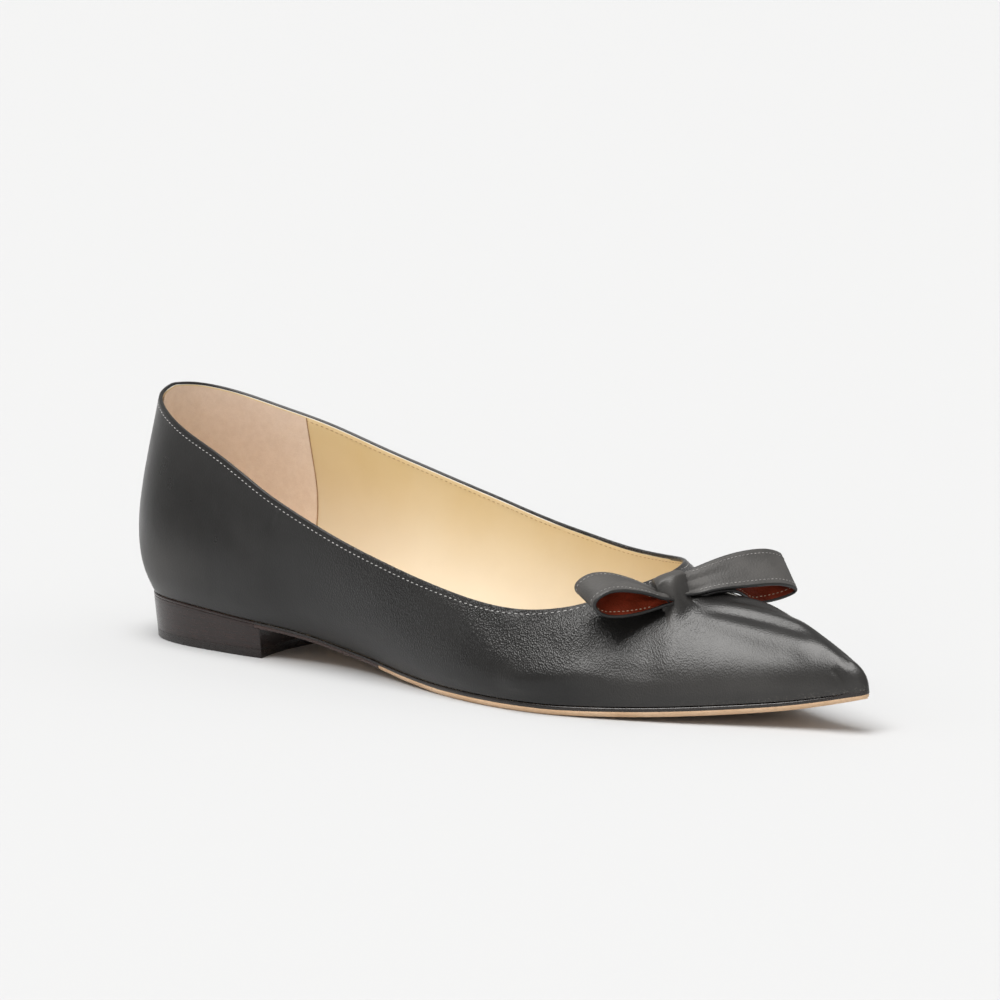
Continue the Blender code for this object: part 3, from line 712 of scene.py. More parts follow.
# Creases on a wall: points as shares of shoeLength and backHeight
wallCrease = namedtuple("wallCrease", "side width height points")
wallCreases = [wallCrease(*row) for row in (
    ("lateral", 4.2, 1.05, ((0.610, 0.105), (0.645, 0.118), (0.682, 0.138), (0.715, 0.162), (0.748, 0.182))),
    ("lateral", 4.2, -0.25, ((0.590, 0.255), (0.630, 0.262), (0.665, 0.270), (0.690, 0.280))),
    ("lateral", 2.8, -0.14, ((0.500, 0.330), (0.535, 0.290), (0.565, 0.235), (0.590, 0.180))),
    ("lateral", 3.2, 0.12, ((0.515, 0.370), (0.552, 0.320), (0.588, 0.255), (0.612, 0.195))),
    ("lateral", 2.5, -0.13, ((0.548, 0.350), (0.585, 0.320), (0.615, 0.260), (0.636, 0.200))),
    ("lateral", 3.0, 0.10, ((0.580, 0.360), (0.610, 0.330), (0.640, 0.270), (0.660, 0.205))),
    ("lateral", 2.5, -0.12, ((0.610, 0.360), (0.640, 0.325), (0.668, 0.262), (0.690, 0.200))),
    ("lateral", 3.8, -0.12, ((0.430, 0.380), (0.470, 0.300), (0.500, 0.220), (0.520, 0.150))),
    ("lateral", 2.0, -0.09, ((0.700, 0.160), (0.740, 0.185), (0.780, 0.180), (0.820, 0.165))),
    ("lateral", 2.5, 0.11, ((0.640, 0.160), (0.690, 0.210), (0.730, 0.235), (0.765, 0.240))),
    ("lateral", 4.2, -0.10, ((0.160, 0.560), (0.210, 0.470), (0.260, 0.380), (0.300, 0.300))),
    ("lateral", 1.2, -0.10, ((0.262, 0.640), (0.258, 0.585), (0.250, 0.520))),
    ("medial", 3.0, -0.13, ((0.480, 0.420), (0.520, 0.340), (0.560, 0.250), (0.590, 0.180))),
    ("medial", 3.0, 0.11, ((0.510, 0.430), (0.552, 0.350), (0.590, 0.260), (0.620, 0.190))),
    ("medial", 2.8, -0.12, ((0.550, 0.430), (0.590, 0.360), (0.625, 0.280), (0.655, 0.200))),
    ("medial", 3.0, 0.09, ((0.600, 0.430), (0.640, 0.360), (0.675, 0.280), (0.700, 0.210))),
)]


def controlMesh():
    bm = bmesh.new()
    cache = {}
    radius = upperSettings["foldRadius"]

    def place(side, i, row):
        if i < throatColumn:
            return shellPoint(side, i, row / wallRows * topShare(side, i, radius))
        if i == throatColumn and row == wallRows:
            ahead = shellPoint(side, i + 1, 1.0) - shellPoint(side, i, 1.0)
            return shellPoint(side, i, 1.0) + ahead.normalized() * radius
        return shellPoint(side, i, row / wallRows)

    def vert(side, i, row):
        shared = i in (0, sideColumns) or (row == wallRows and i >= throatColumn)
        key = ("both" if shared else side, i, row)
        if key not in cache:
            cache[key] = bm.verts.new(place(side, i, row))
        return cache[key]

    for side in ("lateral", "medial"):
        for i in range(sideColumns):
            for row in range(wallRows):
                ring = [vert(side, i, row), vert(side, i + 1, row),
                        vert(side, i + 1, row + 1), vert(side, i, row + 1)]
                bm.faces.new(ring if side == "lateral" else ring[::-1])
    mesh = bpy.data.meshes.new("upperLeather")
    bm.to_mesh(mesh)
    bm.free()
    return mesh


def boundaryLoops(bm):
    left = {e for e in bm.edges if e.is_boundary}
    loops = []
    while left:
        edge = left.pop()
        line = [edge.verts[0], edge.verts[1]]
        while True:
            ahead = [e for e in line[-1].link_edges if e in left]
            if not ahead:
                break
            left.discard(ahead[0])
            line.append(ahead[0].other_vert(line[-1]))
        if line[0] is line[-1]:
            line.pop()
        loops.append(line)
    return loops


def foldTopline(mesh):
    # Rolls the top edge inwards with a half round and turns it down inside
    bm = bmesh.new()
    bm.from_mesh(mesh)
    bm.normal_update()
    layer = bm.verts.layers.float.new("fold")
    loops = boundaryLoops(bm)
    line = max(loops, key=lambda verts: max(v.co.z for v in verts))
    radius, steps = upperSettings["foldRadius"], upperSettings["foldSteps"]
    count = len(line)
    ways, sides = [], []
    for n, v in enumerate(line):
        along = (line[(n + 1) % count].co - line[n - 1].co).normalized()
        normal = sum((f.normal for f in v.link_faces), Vector()).normalized()
        upwards = along.cross(normal).normalized()
        inner = [e.other_vert(v) for e in v.link_edges if not e.is_boundary][0]
        if upwards.dot(v.co - inner.co) < 0.0:
            upwards = -upwards
        ways.append(upwards)
        sides.append((normal - along * normal.dot(along)).normalized())
    before = line
    for step in range(1, steps + 3):
        ring = []
        for n, v in enumerate(line):
            base = v.co - sides[n] * radius
            if step <= steps:
                angle = math.pi * step / steps
                place = base + sides[n] * radius * math.cos(angle) + ways[n] * radius * math.sin(angle)
            else:
                down = upperSettings["foldInside"] * (step - steps) / 2.0
                place = base - sides[n] * radius - ways[n] * down
            new = bm.verts.new(place)
            new[layer] = 1.0 if step <= steps - 1 else 0.4
            ring.append(new)
        for n in range(count):
            m = (n + 1) % count
            bm.faces.new((before[m], before[n], ring[n], ring[m]))
        before = ring
    bmesh.ops.recalc_face_normals(bm, faces=bm.faces)
    for face in bm.faces:
        face.smooth = True
    bm.to_mesh(mesh)
    bm.free()


def arrays(mesh):
    points = np.empty(len(mesh.vertices) * 3)
    normals = np.empty(len(mesh.vertices) * 3)
    mesh.vertices.foreach_get("co", points)
    mesh.vertex_normals.foreach_get("vector", normals)
    return points.reshape(-1, 3), normals.reshape(-1, 3)


def treeOf(mesh):
    return BVHTree.FromPolygons([v.co for v in mesh.vertices], [tuple(p.vertices) for p in mesh.polygons])


def lineDistance(points, line):
    # Least distance from each point to a line, and how far along the line that is
    best = np.full(len(points), 1e9)
    share = np.zeros(len(points))
    line = np.array(line, float)
    for n in range(len(line) - 1):
        a, b = line[n], line[n + 1]
        d = b - a
        s = np.clip(((points - a) @ d) / max(d @ d, 1e-12), 0.0, 1.0)
        away = np.linalg.norm(points - (a + s[:, None] * d), axis=1)
        near = away < best
        best[near] = away[near]
        share[near] = (n + s[near]) / (len(line) - 1)
    return best, share


def smoothLine(points, steps=5):
    curve = rowCurve(list(range(len(points))), points)
    return [tuple(curve(k / steps)) for k in range((len(points) - 1) * steps + 1)]


def castLine(tree, starts, way):
    # Where rays from these places first meet the leather
    hits = [tree.ray_cast(Vector(start), Vector(way))[0] for start in starts]
    return [hit for hit in hits if hit]


def dropped(tree, points):
    starts = [(x * shoeLength - heelRest, y * ballWidth, 0.2) for x, y in smoothLine(points)]
    return castLine(tree, starts, (0, 0, -1))


def castSideways(tree, side, points):
    sign = sideSign(side)
    starts = [(x * shoeLength - heelRest, sign * 0.2, z * backHeight) for x, z in smoothLine(points)]
    return castLine(tree, starts, (0, -sign, 0))


def pressCreases(mesh):
    tree = treeOf(mesh)
    points, normals = arrays(mesh)
    move = np.zeros(len(points))
    lines = [(c.width, c.height, dropped(tree, c.points)) for c in topCreases]
    lines += [(c.width, c.height, castSideways(tree, c.side, c.points)) for c in wallCreases]
    for width, height, line in lines:
        if len(line) < 2:
            continue
        away, share = lineDistance(points, line)
        ends = np.clip(np.minimum(share, 1.0 - share) / 0.28, 0.0, 1.0)
        ends = ends * ends * (3.0 - 2.0 * ends)
        move += height * mm * ends * np.exp(-(away / (width * mm)) ** 2)
    restless = upperSettings["restless"]
    for n, p in enumerate(points):
        move[n] += restless * noise.noise(Vector(p) * 70.0) + 0.4 * restless * noise.noise(Vector(p) * 190.0)
    free = np.clip((points[:, 2] - 4.0 * mm) / (3.0 * mm), 0.0, 1.0)
    points = points + normals * (move * free)[:, None]
    mesh.vertices.foreach_set("co", points.ravel())
    mesh.update()


def paint(mesh, name, values):
    layer = mesh.attributes.new(name=name, type="FLOAT", domain="POINT")
    layer.data.foreach_set("value", np.clip(values, 0.0, 1.0))


def bell(value, middle, width):
    return np.exp(-((value - middle) / width) ** 2)


wearAndHighlightSettings = {
    "grain": (0.10, 0.85, 0.22),  # all over, between waist and throat, and round the throat
    "paintedHighlight": (0.50, 0.72),  # painted highlight: low on the toe, and low on the heel
    "scuff": (0.90, 0.12, 0.05),  # the toe's feather edge, the topline's fold, and the back's rim
    "featherBand": 2.2 * mm,
    "heelPaintedHighlight": (0.055, 0.075, 0.0225, 0.0095),  # the heel's painted highlight: middle and width along the shoe, then in height
}


def share01(value, first, width):
    return np.clip((value - first) / width, 0.0, 1.0)


def paintWearAndHighlights(mesh):
    points = arrays(mesh)[0]
    z = points[:, 2]
    along = (points[:, 0] + heelRest) / shoeLength
    overall, middle, throat = wearAndHighlightSettings["grain"]
    rise = share01(z, 7.0 * mm + 40.0 * mm * np.clip(0.50 - along, 0.0, 1.0), 12.0 * mm)
    worn = share01(along, 0.30, 0.16) * share01(-along, -0.74, 0.10)
    paint(mesh, "grain", overall + middle * worn * rise + throat * bell(along, 0.76, 0.10))
    # Painted highlight: lighter leather low on the toe and low on the heel
    toe, heel = wearAndHighlightSettings["paintedHighlight"]
    place, width, level, height = wearAndHighlightSettings["heelPaintedHighlight"]
    lowered = share01(-z, -0.0190, 0.0070) * share01(along, 0.70, 0.12)
    paint(mesh, "paintedHighlight", toe * lowered + heel * bell(along, place, width) * bell(z, level, height))
    edge, folded, rim = wearAndHighlightSettings["scuff"]
    feather = np.array([topside(station(a)) for a in along])
    low = np.clip(1.0 - (z - feather) / wearAndHighlightSettings["featherBand"], 0.0, 1.0)
    fold = np.array([d.value for d in mesh.attributes["fold"].data])
    back = share01(-along, -0.10, 0.10)
    paint(mesh, "scuff", edge * low * share01(along, 0.80, 0.10) + folded * fold * (0.15 + 0.85 * back)
          + rim * share01(z / backHeight, 0.93, 0.05) * back)


def makeUpper():
    obj = addObject("upperLeather", controlMesh(), [nappa], "upper")
    smooth = obj.modifiers.new("smooth", "SUBSURF")
    smooth.levels = upperSettings["levels"]
    smooth.render_levels = upperSettings["levels"]
    applyModifiers(obj)
    pressCreases(obj.data)
    foldTopline(obj.data)
    paintWearAndHighlights(obj.data)
    obj.data.shade_smooth()
    return obj


upper = makeUpper()
upperTree = treeOf(upper.data)
print("stage: upper", len(upper.data.polygons))


# Lining, its pale top edge, the heel grip and the sock

liningSettings = {
    "inset": 1.34 * mm,
    "below": 0.75 * mm,
    "columns": 190,
    "rows": 22,
    "last": throatColumn + 14.0,
}


def liningPoint(side, column, share, inset, below):
    v = share
    if column < throatColumn:
        v *= topShare(side, column, below)
    else:
        fade = min((column - throatColumn) / 3.0, 1.0)
        v *= topShare(side, column, below) * (1.0 - fade) + fade
    return shellPoint(side, column, v) - shellNormal(side, column, v) * inset


def makeLining():
    columns, rows = liningSettings["columns"], liningSettings["rows"]
    inset, below = liningSettings["inset"], liningSettings["below"]
    points, faces, slots = [], [], []
    for side in ("lateral", "medial"):
        start = len(points)
        width = rows + 3
        for n in range(columns + 1):
            column = liningSettings["last"] * n / columns
            for k in range(rows + 1):
                points.append(liningPoint(side, column, k / rows, inset, below))
            normal = shellNormal(side, column, topShare(side, min(column, throatColumn), below))
            top = points[-1]
            points.append(top + normal * 0.06 * mm + Vector((0, 0, 0.16 * mm)))
            points.append(top + normal * 0.34 * mm + Vector((0, 0, 0.14 * mm)))
        new = gridFaces(columns + 1, width, start, flip=side == "medial")
        faces += new
        slots += [1 if (f[0] - start) % width >= rows or (f[1] - start) % width > rows else 0 for f in new]
    addObject("shoeLining", meshFrom(points, faces, slots), [liningLeather, liningEdge])


makeLining()

# Heel grip: its front edge as height (share of backHeight) and place along (share of shoeLength)
gripSettings = {
    "inset": 1.75 * mm,
    "below": 1.0 * mm,
    "front": ((0.00, 0.120), (0.25, 0.128), (0.45, 0.1325), (0.62, 0.1335), (0.80, 0.130), (1.00, 0.1255)),
    "columns": 60,
    "rows": 40,
}


def makeGrip():
    front = rowCurve([p[0] for p in gripSettings["front"]], [(p[1],) for p in gripSettings["front"]])
    points, faces, slots = [], [], []
    columns, rows = gripSettings["columns"], gripSettings["rows"]
    inset, below = gripSettings["inset"], gripSettings["below"]
    shares = [k / rows for k in range(rows + 1)]
    edge = [station(float(front(share)[0])) * sideColumns for share in shares]
    for side in ("lateral", "medial"):
        start = len(points)
        grid = [[liningPoint(side, edge[k] * n / columns, share, inset, below)
                 for k, share in enumerate(shares)]
                for n in range(columns + 1)]
        outwards = [shellNormal(side, edge[k], share) for k, share in enumerate(shares)]
        grid.append([p + w * 0.20 * mm + Vector((0.16 * mm, 0, 0)) for p, w in zip(grid[-1], outwards)])
        grid.append([p + w * 0.30 * mm for p, w in zip(grid[-1], outwards)])
        points += [p for line in grid for p in line]
        new = gridFaces(len(grid), rows + 1, start, flip=side == "medial")
        faces += new
        slots += [1 if (min(f) - start) // (rows + 1) >= columns else 0 for f in new]
    addObject("heelGrip", meshFrom(points, faces, slots), [gripSuede, gripEdge])


makeGrip()

sockSettings = {
    "first": 0.035,
    "last": 0.86,
    "inset": 1.6 * mm,
    "thickness": 2.0 * mm,
    "round": 0.5 * mm,
    "crown": 0.25 * mm,
    "steps": 120,
}


def makeSock():
    first, last, steps = sockSettings["first"], sockSettings["last"], sockSettings["steps"]
    stations = [first + (last - first) * k / steps for k in range(steps + 1)]
    inset, thick, edge = sockSettings["inset"], sockSettings["thickness"], sockSettings["round"]

    def level(lift, crown=0.0):
        def height(t, p):
            half = outline(t).max() * ballWidth
            return topside(t) + pieceGap + lift + crown * max(1.0 - (p.y / half) ** 2, 0.0)
        return height

    grids = [
        [across(t, inset, level(0.0)) for t in stations],
        [across(t, inset, level(thick - edge)) for t in stations],
        [across(t, inset + 0.3 * edge, level(thick - 0.25 * edge)) for t in stations],
        [across(t, inset + edge, level(thick, sockSettings["crown"])) for t in stations],
    ]
    addObject("sockLeather", plateMesh(grids, 60.0), [liningLeather], "insole", True)


makeSock()
print("stage: lining, grip and sock")


# Sole, heel block and top piece

soleSettings = {
    "steps": 170,
    "first": 0.0075,
    "tanFrom": 0.405,  # share of the length where the natural edge starts
    "brownFrom": 0.222,  # the heel block's end: behind it the edge is stained with the heel
    "softFrom": (0.20, 0.06),  # where the bevel starts, and over what length
    "tipLift": 0.5 * mm,
}


def makeSole():
    steps, first = soleSettings["steps"], soleSettings["first"]
    stations = [first + (1.0 - 2.0 * first) * k / steps for k in range(steps + 1)]

    softFrom, softOver = soleSettings["softFrom"]

    def level(share, lift=0.0):
        return lambda v, p: underside(v) + (topside(v) - underside(v)) * share + lift

    def soften(t):
        share = min(max((alongOf(t) - softFrom) / softOver, 0.0), 1.0)
        return share * share * (3.0 - 2.0 * share)

    def tipLift(t):
        return soleSettings["tipLift"] * min(max((alongOf(t) - 0.965) / 0.02, 0.0), 1.0)

    # Edge rings from the underside up: inset in mm and share of the thickness
    bevels = ((1.00, 0.0), (0.55, 0.05), (0.22, 0.17))
    sides = ((0.03, 0.33), (-0.02, 0.50), (0.08, 0.58), (-0.05, 0.66), (-0.12, 0.80))
    tops = ((-0.02, 0.94), (0.30, 1.0))
    grids = [[across(t, inset * mm * soften(t) + 0.02 * mm, level(share * soften(t))) for t in stations]
             for inset, share in bevels]
    grids += [[across(t, inset * mm, level(share)) for t in stations] for inset, share in sides]
    grids += [[across(t, inset * mm, level(share, tipLift(t))) for t in stations] for inset, share in tops]

    def slotOf(ring, p):
        along = (p.x + heelRest) / shoeLength
        if ring == 0:
            return 0
        if along <= soleSettings["brownFrom"]:
            return 3
        if ring >= 6:
            return 1
        return 0 if along > soleSettings["tanFrom"] else 2

    addObject("outsoleLeather", plateMesh(grids, 50.0, slotOf),
              [soleTan, soleDark, soleBrown, stackedHeel], "outsole", True)


makeSole()

heelSettings = {"length": 0.0590, "hollow": 0.0045, "taper": 0.0011, "lift": 0.0026, "steps": 64}


def heelStations():
    end = station(heelSettings["length"] / shoeLength)
    return [0.0075 + (end - 0.0075) * k / heelSettings["steps"] for k in range(heelSettings["steps"] + 1)]


def heelLine(t, inset, height):
    end = station(heelSettings["length"] / shoeLength)
    return across(t, inset, height, bow=heelSettings["hollow"] * (t / end) ** 3, steps=16)


def heelGrid(inset, share):
    foot = heelSettings["lift"]
    grid = []
    for t in heelStations():
        line = heelLine(t, inset, lambda v, p: 0.0)
        for point in line:
            top = underside(station((point.x + heelRest) / shoeLength)) + 0.1 * mm
            point.z = foot + (top - foot) * share
        grid.append(line)
    return grid


def makeHeel():
    taper = heelSettings["taper"]
    grids = [heelGrid(taper * 0.85 + 0.06 * mm, 0.0), heelGrid(taper * 0.85, 0.012)]
    grids += [heelGrid(taper * 0.85 * (1.0 - k / 8.0), k / 8.0) for k in range(1, 8)]
    grids += [heelGrid(0.0, 1.0)]
    addObject("heelBlock", plateMesh(grids, 50.0), [stackedHeel], "heel", True)
    lift = heelSettings["lift"]
    rings = ((taper + 0.2 * mm, 0.0), (taper, 0.22 * mm), (taper * 0.86, lift - 0.05 * mm),
             (taper * 0.86 + 0.06 * mm, lift))
    grids = [[heelLine(t, inset, lambda v, p: z) for t in heelStations()] for inset, z in rings]
    addObject("heelTopPiece", plateMesh(grids, 50.0), [topPiece], "heel_lift", True)


makeHeel()
print("stage: sole and heel")


# Bow: two loops and the band over their middle

bowLoop = namedtuple("bowLoop", "name node side along across height length tall turn rise lean dark sag")
# dark: share at each end where the loop's inside is painted shade, in the near-black edge leather
bowLoops = (
    bowLoop("bowLoopLateral", "bow_loop_lateral", "lateral",
            0.7710, -0.162, 0.822, 0.0230, 0.0074, -24.0, 0.07, 14.0, 0.00, 0.0),
    bowLoop("bowLoopMedial", "bow_loop_medial", "medial",
            0.7760, -0.036, 0.836, 0.0354, 0.0072, 23.0, -0.02, 42.0, 0.22, 1.1 * mm),
)
loopRow = namedtuple("loopRow", "out up width")
loopRows = [loopRow(*row) for row in (
    (-0.10, -0.05, 0.60),
    (0.00, -0.12, 0.64),
    (0.18, -0.30, 0.74),
    (0.42, -0.47, 0.88),
    (0.68, -0.53, 0.98),
    (0.88, -0.37, 1.00),
    (0.97, 0.00, 1.00),
    (0.87, 0.37, 1.00),
    (0.66, 0.53, 0.98),
    (0.40, 0.46, 0.88),
    (0.18, 0.30, 0.74),
    (0.00, 0.12, 0.64),
    (-0.10, 0.05, 0.60),
)]
bowSettings = {
    "width": 0.0124,
    "thickness": 1.05 * mm,
    "room": -0.10 * mm,  # a strap that lies on the vamp is pressed into it by this much
    "closed": (0.96, 0.36),  # the straps' back edges meet up to here, and part over this share
    "steps": 96,
    "lanes": 22,
    "edgeSteps": 5,
    "pleats": 0.34 * mm,
}


def loopFrame(loop):
    sign = sideSign(loop.side)
    turn, lean = math.radians(loop.turn), math.radians(loop.lean)
    out = Vector((math.sin(turn), sign * math.cos(turn), loop.rise)).normalized()
    level = Vector((math.cos(turn), -sign * math.sin(turn), 0.0))
    front = level * math.cos(lean) - Vector((0.0, 0.0, math.sin(lean)))
    front = (front - out * front.dot(out)).normalized()
    up = out.cross(front) if sign < 0.0 else front.cross(out)
    return out, front, up.normalized()


def loopGrid(loop):
    # The strap's middle surface: its lower half rests on the vamp and its upper half stays above it
    out, front, up = loopFrame(loop)
    knot = Vector((loop.along * shoeLength - heelRest, loop.across * ballWidth, loop.height * instepHeight))
    chord = [0.0]
    for a, b in zip(loopRows, loopRows[1:]):
        chord.append(chord[-1] + math.hypot((b.out - a.out) * loop.length, (b.up - a.up) * loop.tall))
    path = rowCurve([c / chord[-1] for c in chord], loopRows)
    steps, lanes = bowSettings["steps"], bowSettings["lanes"]
    room = bowSettings["thickness"] / 2.0 + bowSettings["room"]
    grid = []
    for n in range(steps + 1):
        reach, rise, width = path(n / steps)
        edge = knot + out * reach * loop.length + up * rise * loop.tall
        grid.append([edge - front * bowSettings["width"] * width * k / lanes for k in range(lanes + 1)])
    half = steps // 2
    closedTo, closedOver = bowSettings["closed"]
    for n in range(half):
        reach = path(n / steps)[0]
        for k in range(lanes + 1):
            share = (k / lanes) ** 1.3 * min(max((closedTo - reach) / closedOver, 0.0), 1.0)
            meeting = grid[steps - n][k] - up * bowSettings["thickness"] * 1.1
            sag = loop.sag * (1.0 - share) * float(bell(reach, 0.50, 0.22))
            grid[n][k] = grid[n][k].lerp(meeting, share) - up * sag
    need = np.zeros((half + 1, lanes + 1))
    for n in range(half + 1):
        for k in range(lanes + 1):
            place, normal, _, _ = upperTree.find_nearest(grid[n][k])
            short = max(room - (grid[n][k] - place).dot(normal), 0.0)
            clear = min(max((n / half - 0.05) / 0.25, 0.0), 1.0)
            need[n, k] = short / max(normal.dot(up), 0.35) * clear
    need = softened(need, 1)
    for n in range(half + 1):
        for k in range(lanes + 1):
            grid[n][k] = grid[n][k] + up * float(need[n, k])
    thick = bowSettings["thickness"] * 1.15
    rise = np.zeros((half + 1, lanes + 1))
    for n in range(half - 6):
        for k in range(lanes + 1):
            gap = (grid[steps - n][k] - grid[n][k]).dot(up)
            rise[n, k] = max(thick - gap, 0.0)
    rise = softened(rise, 3)
    for n in range(half):
        for k in range(lanes + 1):
            grid[steps - n][k] = grid[steps - n][k] + up * float(rise[n, k])
    for n, line in enumerate(grid):
        near = max(1.0 - min(n, steps - n) / (steps * 0.30), 0.0)
        for k in range(lanes + 1):
            fold = math.cos(k / lanes * math.pi * 5.0 + 0.6) * near ** 1.5
            line[k] = line[k] + up * fold * bowSettings["pleats"]
    return grid


def softened(values, reach=4):
    # Widens and then smooths a table, so that it never falls below its first values
    for axis in (0, 1):
        wide = values.copy()
        for shift in range(-reach, reach + 1):
            moved = np.roll(values, shift, axis=axis)
            cut = [slice(None), slice(None)]
            cut[axis] = slice(0, shift) if shift > 0 else slice(values.shape[axis] + shift, None)
            if shift:
                moved[tuple(cut)] = 0.0
            wide = np.maximum(wide, moved)
        values = wide
        for _ in range(reach * 2):
            pads = [(1, 1) if a == axis else (0, 0) for a in (0, 1)]
            padded = np.pad(values, pads, mode="edge")
            low = np.take(padded, range(0, values.shape[axis]), axis=axis)
            high = np.take(padded, range(2, values.shape[axis] + 2), axis=axis)
            values = 0.25 * low + 0.5 * values + 0.25 * high
    return values


def makeLoop(loop):
    grid = loopGrid(loop)
    steps, lanes, turns = bowSettings["steps"], bowSettings["lanes"], bowSettings["edgeSteps"]
    half = bowSettings["thickness"] / 2.0
    centre = sum((p for line in grid for p in line), Vector()) / (len(grid) * len(grid[0]))
    end = steps // 2
    tip = (grid[end + 1][1] - grid[end - 1][1]).cross(grid[end][2] - grid[end][0])
    flip = 1.0 if tip.dot(grid[end][1] - centre) > 0.0 else -1.0
    angles = [math.pi * k / turns for k in range(1, turns)]
    points, slots, outer, inner = [], [], [], []
    for n, line in enumerate(grid):
        before, after = grid[max(n - 1, 0)], grid[min(n + 1, steps)]
        normals = []
        for k in range(lanes + 1):
            beside = line[min(k + 1, lanes)] - line[max(k - 1, 0)]
            normals.append((after[k] - before[k]).cross(beside).normalized() * flip)
        outs = [p + w * half for p, w in zip(line, normals)]
        ins = [p - w * half for p, w in zip(line, normals)]
        backward = (line[-1] - line[-2]).normalized()
        forward = (line[0] - line[1]).normalized()
        points += outs
        points += [line[-1] + (normals[-1] * math.cos(a) + backward * math.sin(a)) * half for a in angles]
        points += ins[::-1]
        points += [line[0] + (forward * math.sin(a) - normals[0] * math.cos(a)) * half for a in angles]
        outer.append((outs, normals))
        inner.append((ins, normals))
    size = 2 * (lanes + 1) + 2 * (turns - 1)
    faces = gridFaces(steps + 1, size, closed=True)
    for face in faces:
        k = face[0] % size
        n = face[0] // size
        if k < lanes:
            slots.append(0)
        # Painted shade: within dark of each end, near the knot, the loop's inside takes the near-black edge
        # leather in place of the red lining
        elif lanes + turns <= k < 2 * lanes + turns and loop.dark < n / steps < 1.0 - loop.dark:
            slots.append(2)
        else:
            slots.append(1)
    addObject(loop.name, meshFrom(points, faces, slots), [bowLeather, bowEdge, bowLining],
              loop.node, True)
    return outer, inner


def strapStitches(faces, share, sign, skip=0.08):
    # A run of places along a strap at this share of its width
    line, normals = [], []
    steps = len(faces) - 1
    for n in range(int(steps * skip), int(steps * (1.0 - skip)) + 1):
        points, ways = faces[n]
        k = share * (len(points) - 1)
        i = min(int(k), len(points) - 2)
        line.append(points[i].lerp(points[i + 1], k - i))
        normals.append(ways[i] * sign)
    runs = []
    for place, way in resample(line, threadSettings["pitch"]):
        near = min(range(len(line)), key=lambda n: (line[n] - place).length)
        runs.append((place, way, normals[near]))
    return runs


threadSettings = {"radius": 0.12 * mm, "length": 0.84 * mm, "pitch": 1.30 * mm, "slant": 0.0, "seed": 3}


outerRuns, innerRuns = [], []
for loop in bowLoops:
    outer, inner = makeLoop(loop)
    outerRuns += strapStitches(outer, 0.11, 1.0) + strapStitches(outer, 0.89, 1.0)
    innerRuns += strapStitches(inner, 0.12, -1.0, 0.12)
addObject("bowStitchesOuter", stitchMesh(outerRuns, threadSettings), [threadGrey])
addObject("bowStitchesInner", stitchMesh(innerRuns, threadSettings), [threadCream])

bandRow = namedtuple("bandRow", "along side half height")
bandRows = [bandRow(*row) for row in (
    (0.7400, -0.037, 0.46, 0.8),
    (0.7450, -0.046, 0.50, 3.6),
    (0.7510, -0.058, 0.52, 5.2),
    (0.7570, -0.069, 0.53, 5.8),
    (0.7635, -0.080, 0.53, 5.3),
    (0.7695, -0.090, 0.54, 4.0),
    (0.7755, -0.100, 0.58, 2.4),
    (0.7815, -0.110, 0.67, 1.15),
    (0.7875, -0.120, 0.80, 0.38),
    (0.7935, -0.130, 0.95, 0.12),
    (0.7995, -0.140, 1.05, -0.06),
)]
bandSettings = {
    "width": 0.0078,
    "steps": 72,
    "lanes": 32,
    "folds": 0.12 * mm,
    "merge": (0.30, 0.25),  # where the flat strap starts to sink into the vamp, and over what share
    "front": (0.767, 0.020),  # where the painted highlight on its top gives way to the vamp's finish, along the shoe
    "frontGrain": (0.12, 0.20),
}


def makeBand():
    curve = rowCurve([r.along for r in bandRows], [r[1:] for r in bandRows])
    first, last = bandRows[0].along, bandRows[-1].along
    aside = (bandRows[-1].side - bandRows[0].side) * ballWidth
    way = Vector(((last - first) * shoeLength, aside, 0.0)).normalized()
    lateral = Vector((way.y, -way.x, 0.0))
    steps, lanes = bandSettings["steps"], bandSettings["lanes"]
    mergeFrom, mergeOver = bandSettings["merge"]
    grids = ([], [], [])
    for n in range(steps + 1):
        along = first + (last - first) * n / steps
        side, half, height = curve(along)
        centre = Vector((along * shoeLength - heelRest, side * ballWidth, 2.0 * instepHeight))
        merged = min(max((n / steps - mergeFrom) / mergeOver, 0.0), 1.0)
        lines = ([], [], [])
        for k in range(lanes + 1):
            share = 2.0 * k / lanes - 1.0
            start = centre + lateral * share * half * bandSettings["width"]
            place, normal, _, _ = upperTree.ray_cast(start, Vector((0.0, 0.0, -1.0)))
            fold = math.cos(share * 7.5 + 1.2 * math.sin(n / steps * 3.0)) * bandSettings["folds"]
            square = share * share
            shape = (1.0 - merged) * (1.0 - 0.14 * square * square) + merged * (1.0 - square) ** 2
            rise = height * mm * shape - 0.06 * mm * square
            rise += fold * min(n, steps - n) / steps * (1.0 - merged)
            lines[0].append(place - normal * 0.8 * mm)
            lines[1].append(place + normal * (rise * 0.75 - 0.1 * mm) + lateral * share * 0.2 * mm)
            lines[2].append(place + normal * rise)
        for grid, line in zip(grids, lines):
            grid.append(line)
    obj = addObject("bowBand", plateMesh(grids, 48.0), [nappa], "bow_band", True)
    along = (arrays(obj.data)[0][:, 0] + heelRest) / shoeLength
    front = share01(along, *bandSettings["front"])
    base, ahead = bandSettings["frontGrain"]
    # Painted highlight on the band's top, fading out towards its front
    paint(obj.data, "paintedHighlight", 1.0 - front)
    paint(obj.data, "grain", base + ahead * front)


makeBand()
print("stage: bow")


# Stitches of the topline and the lining

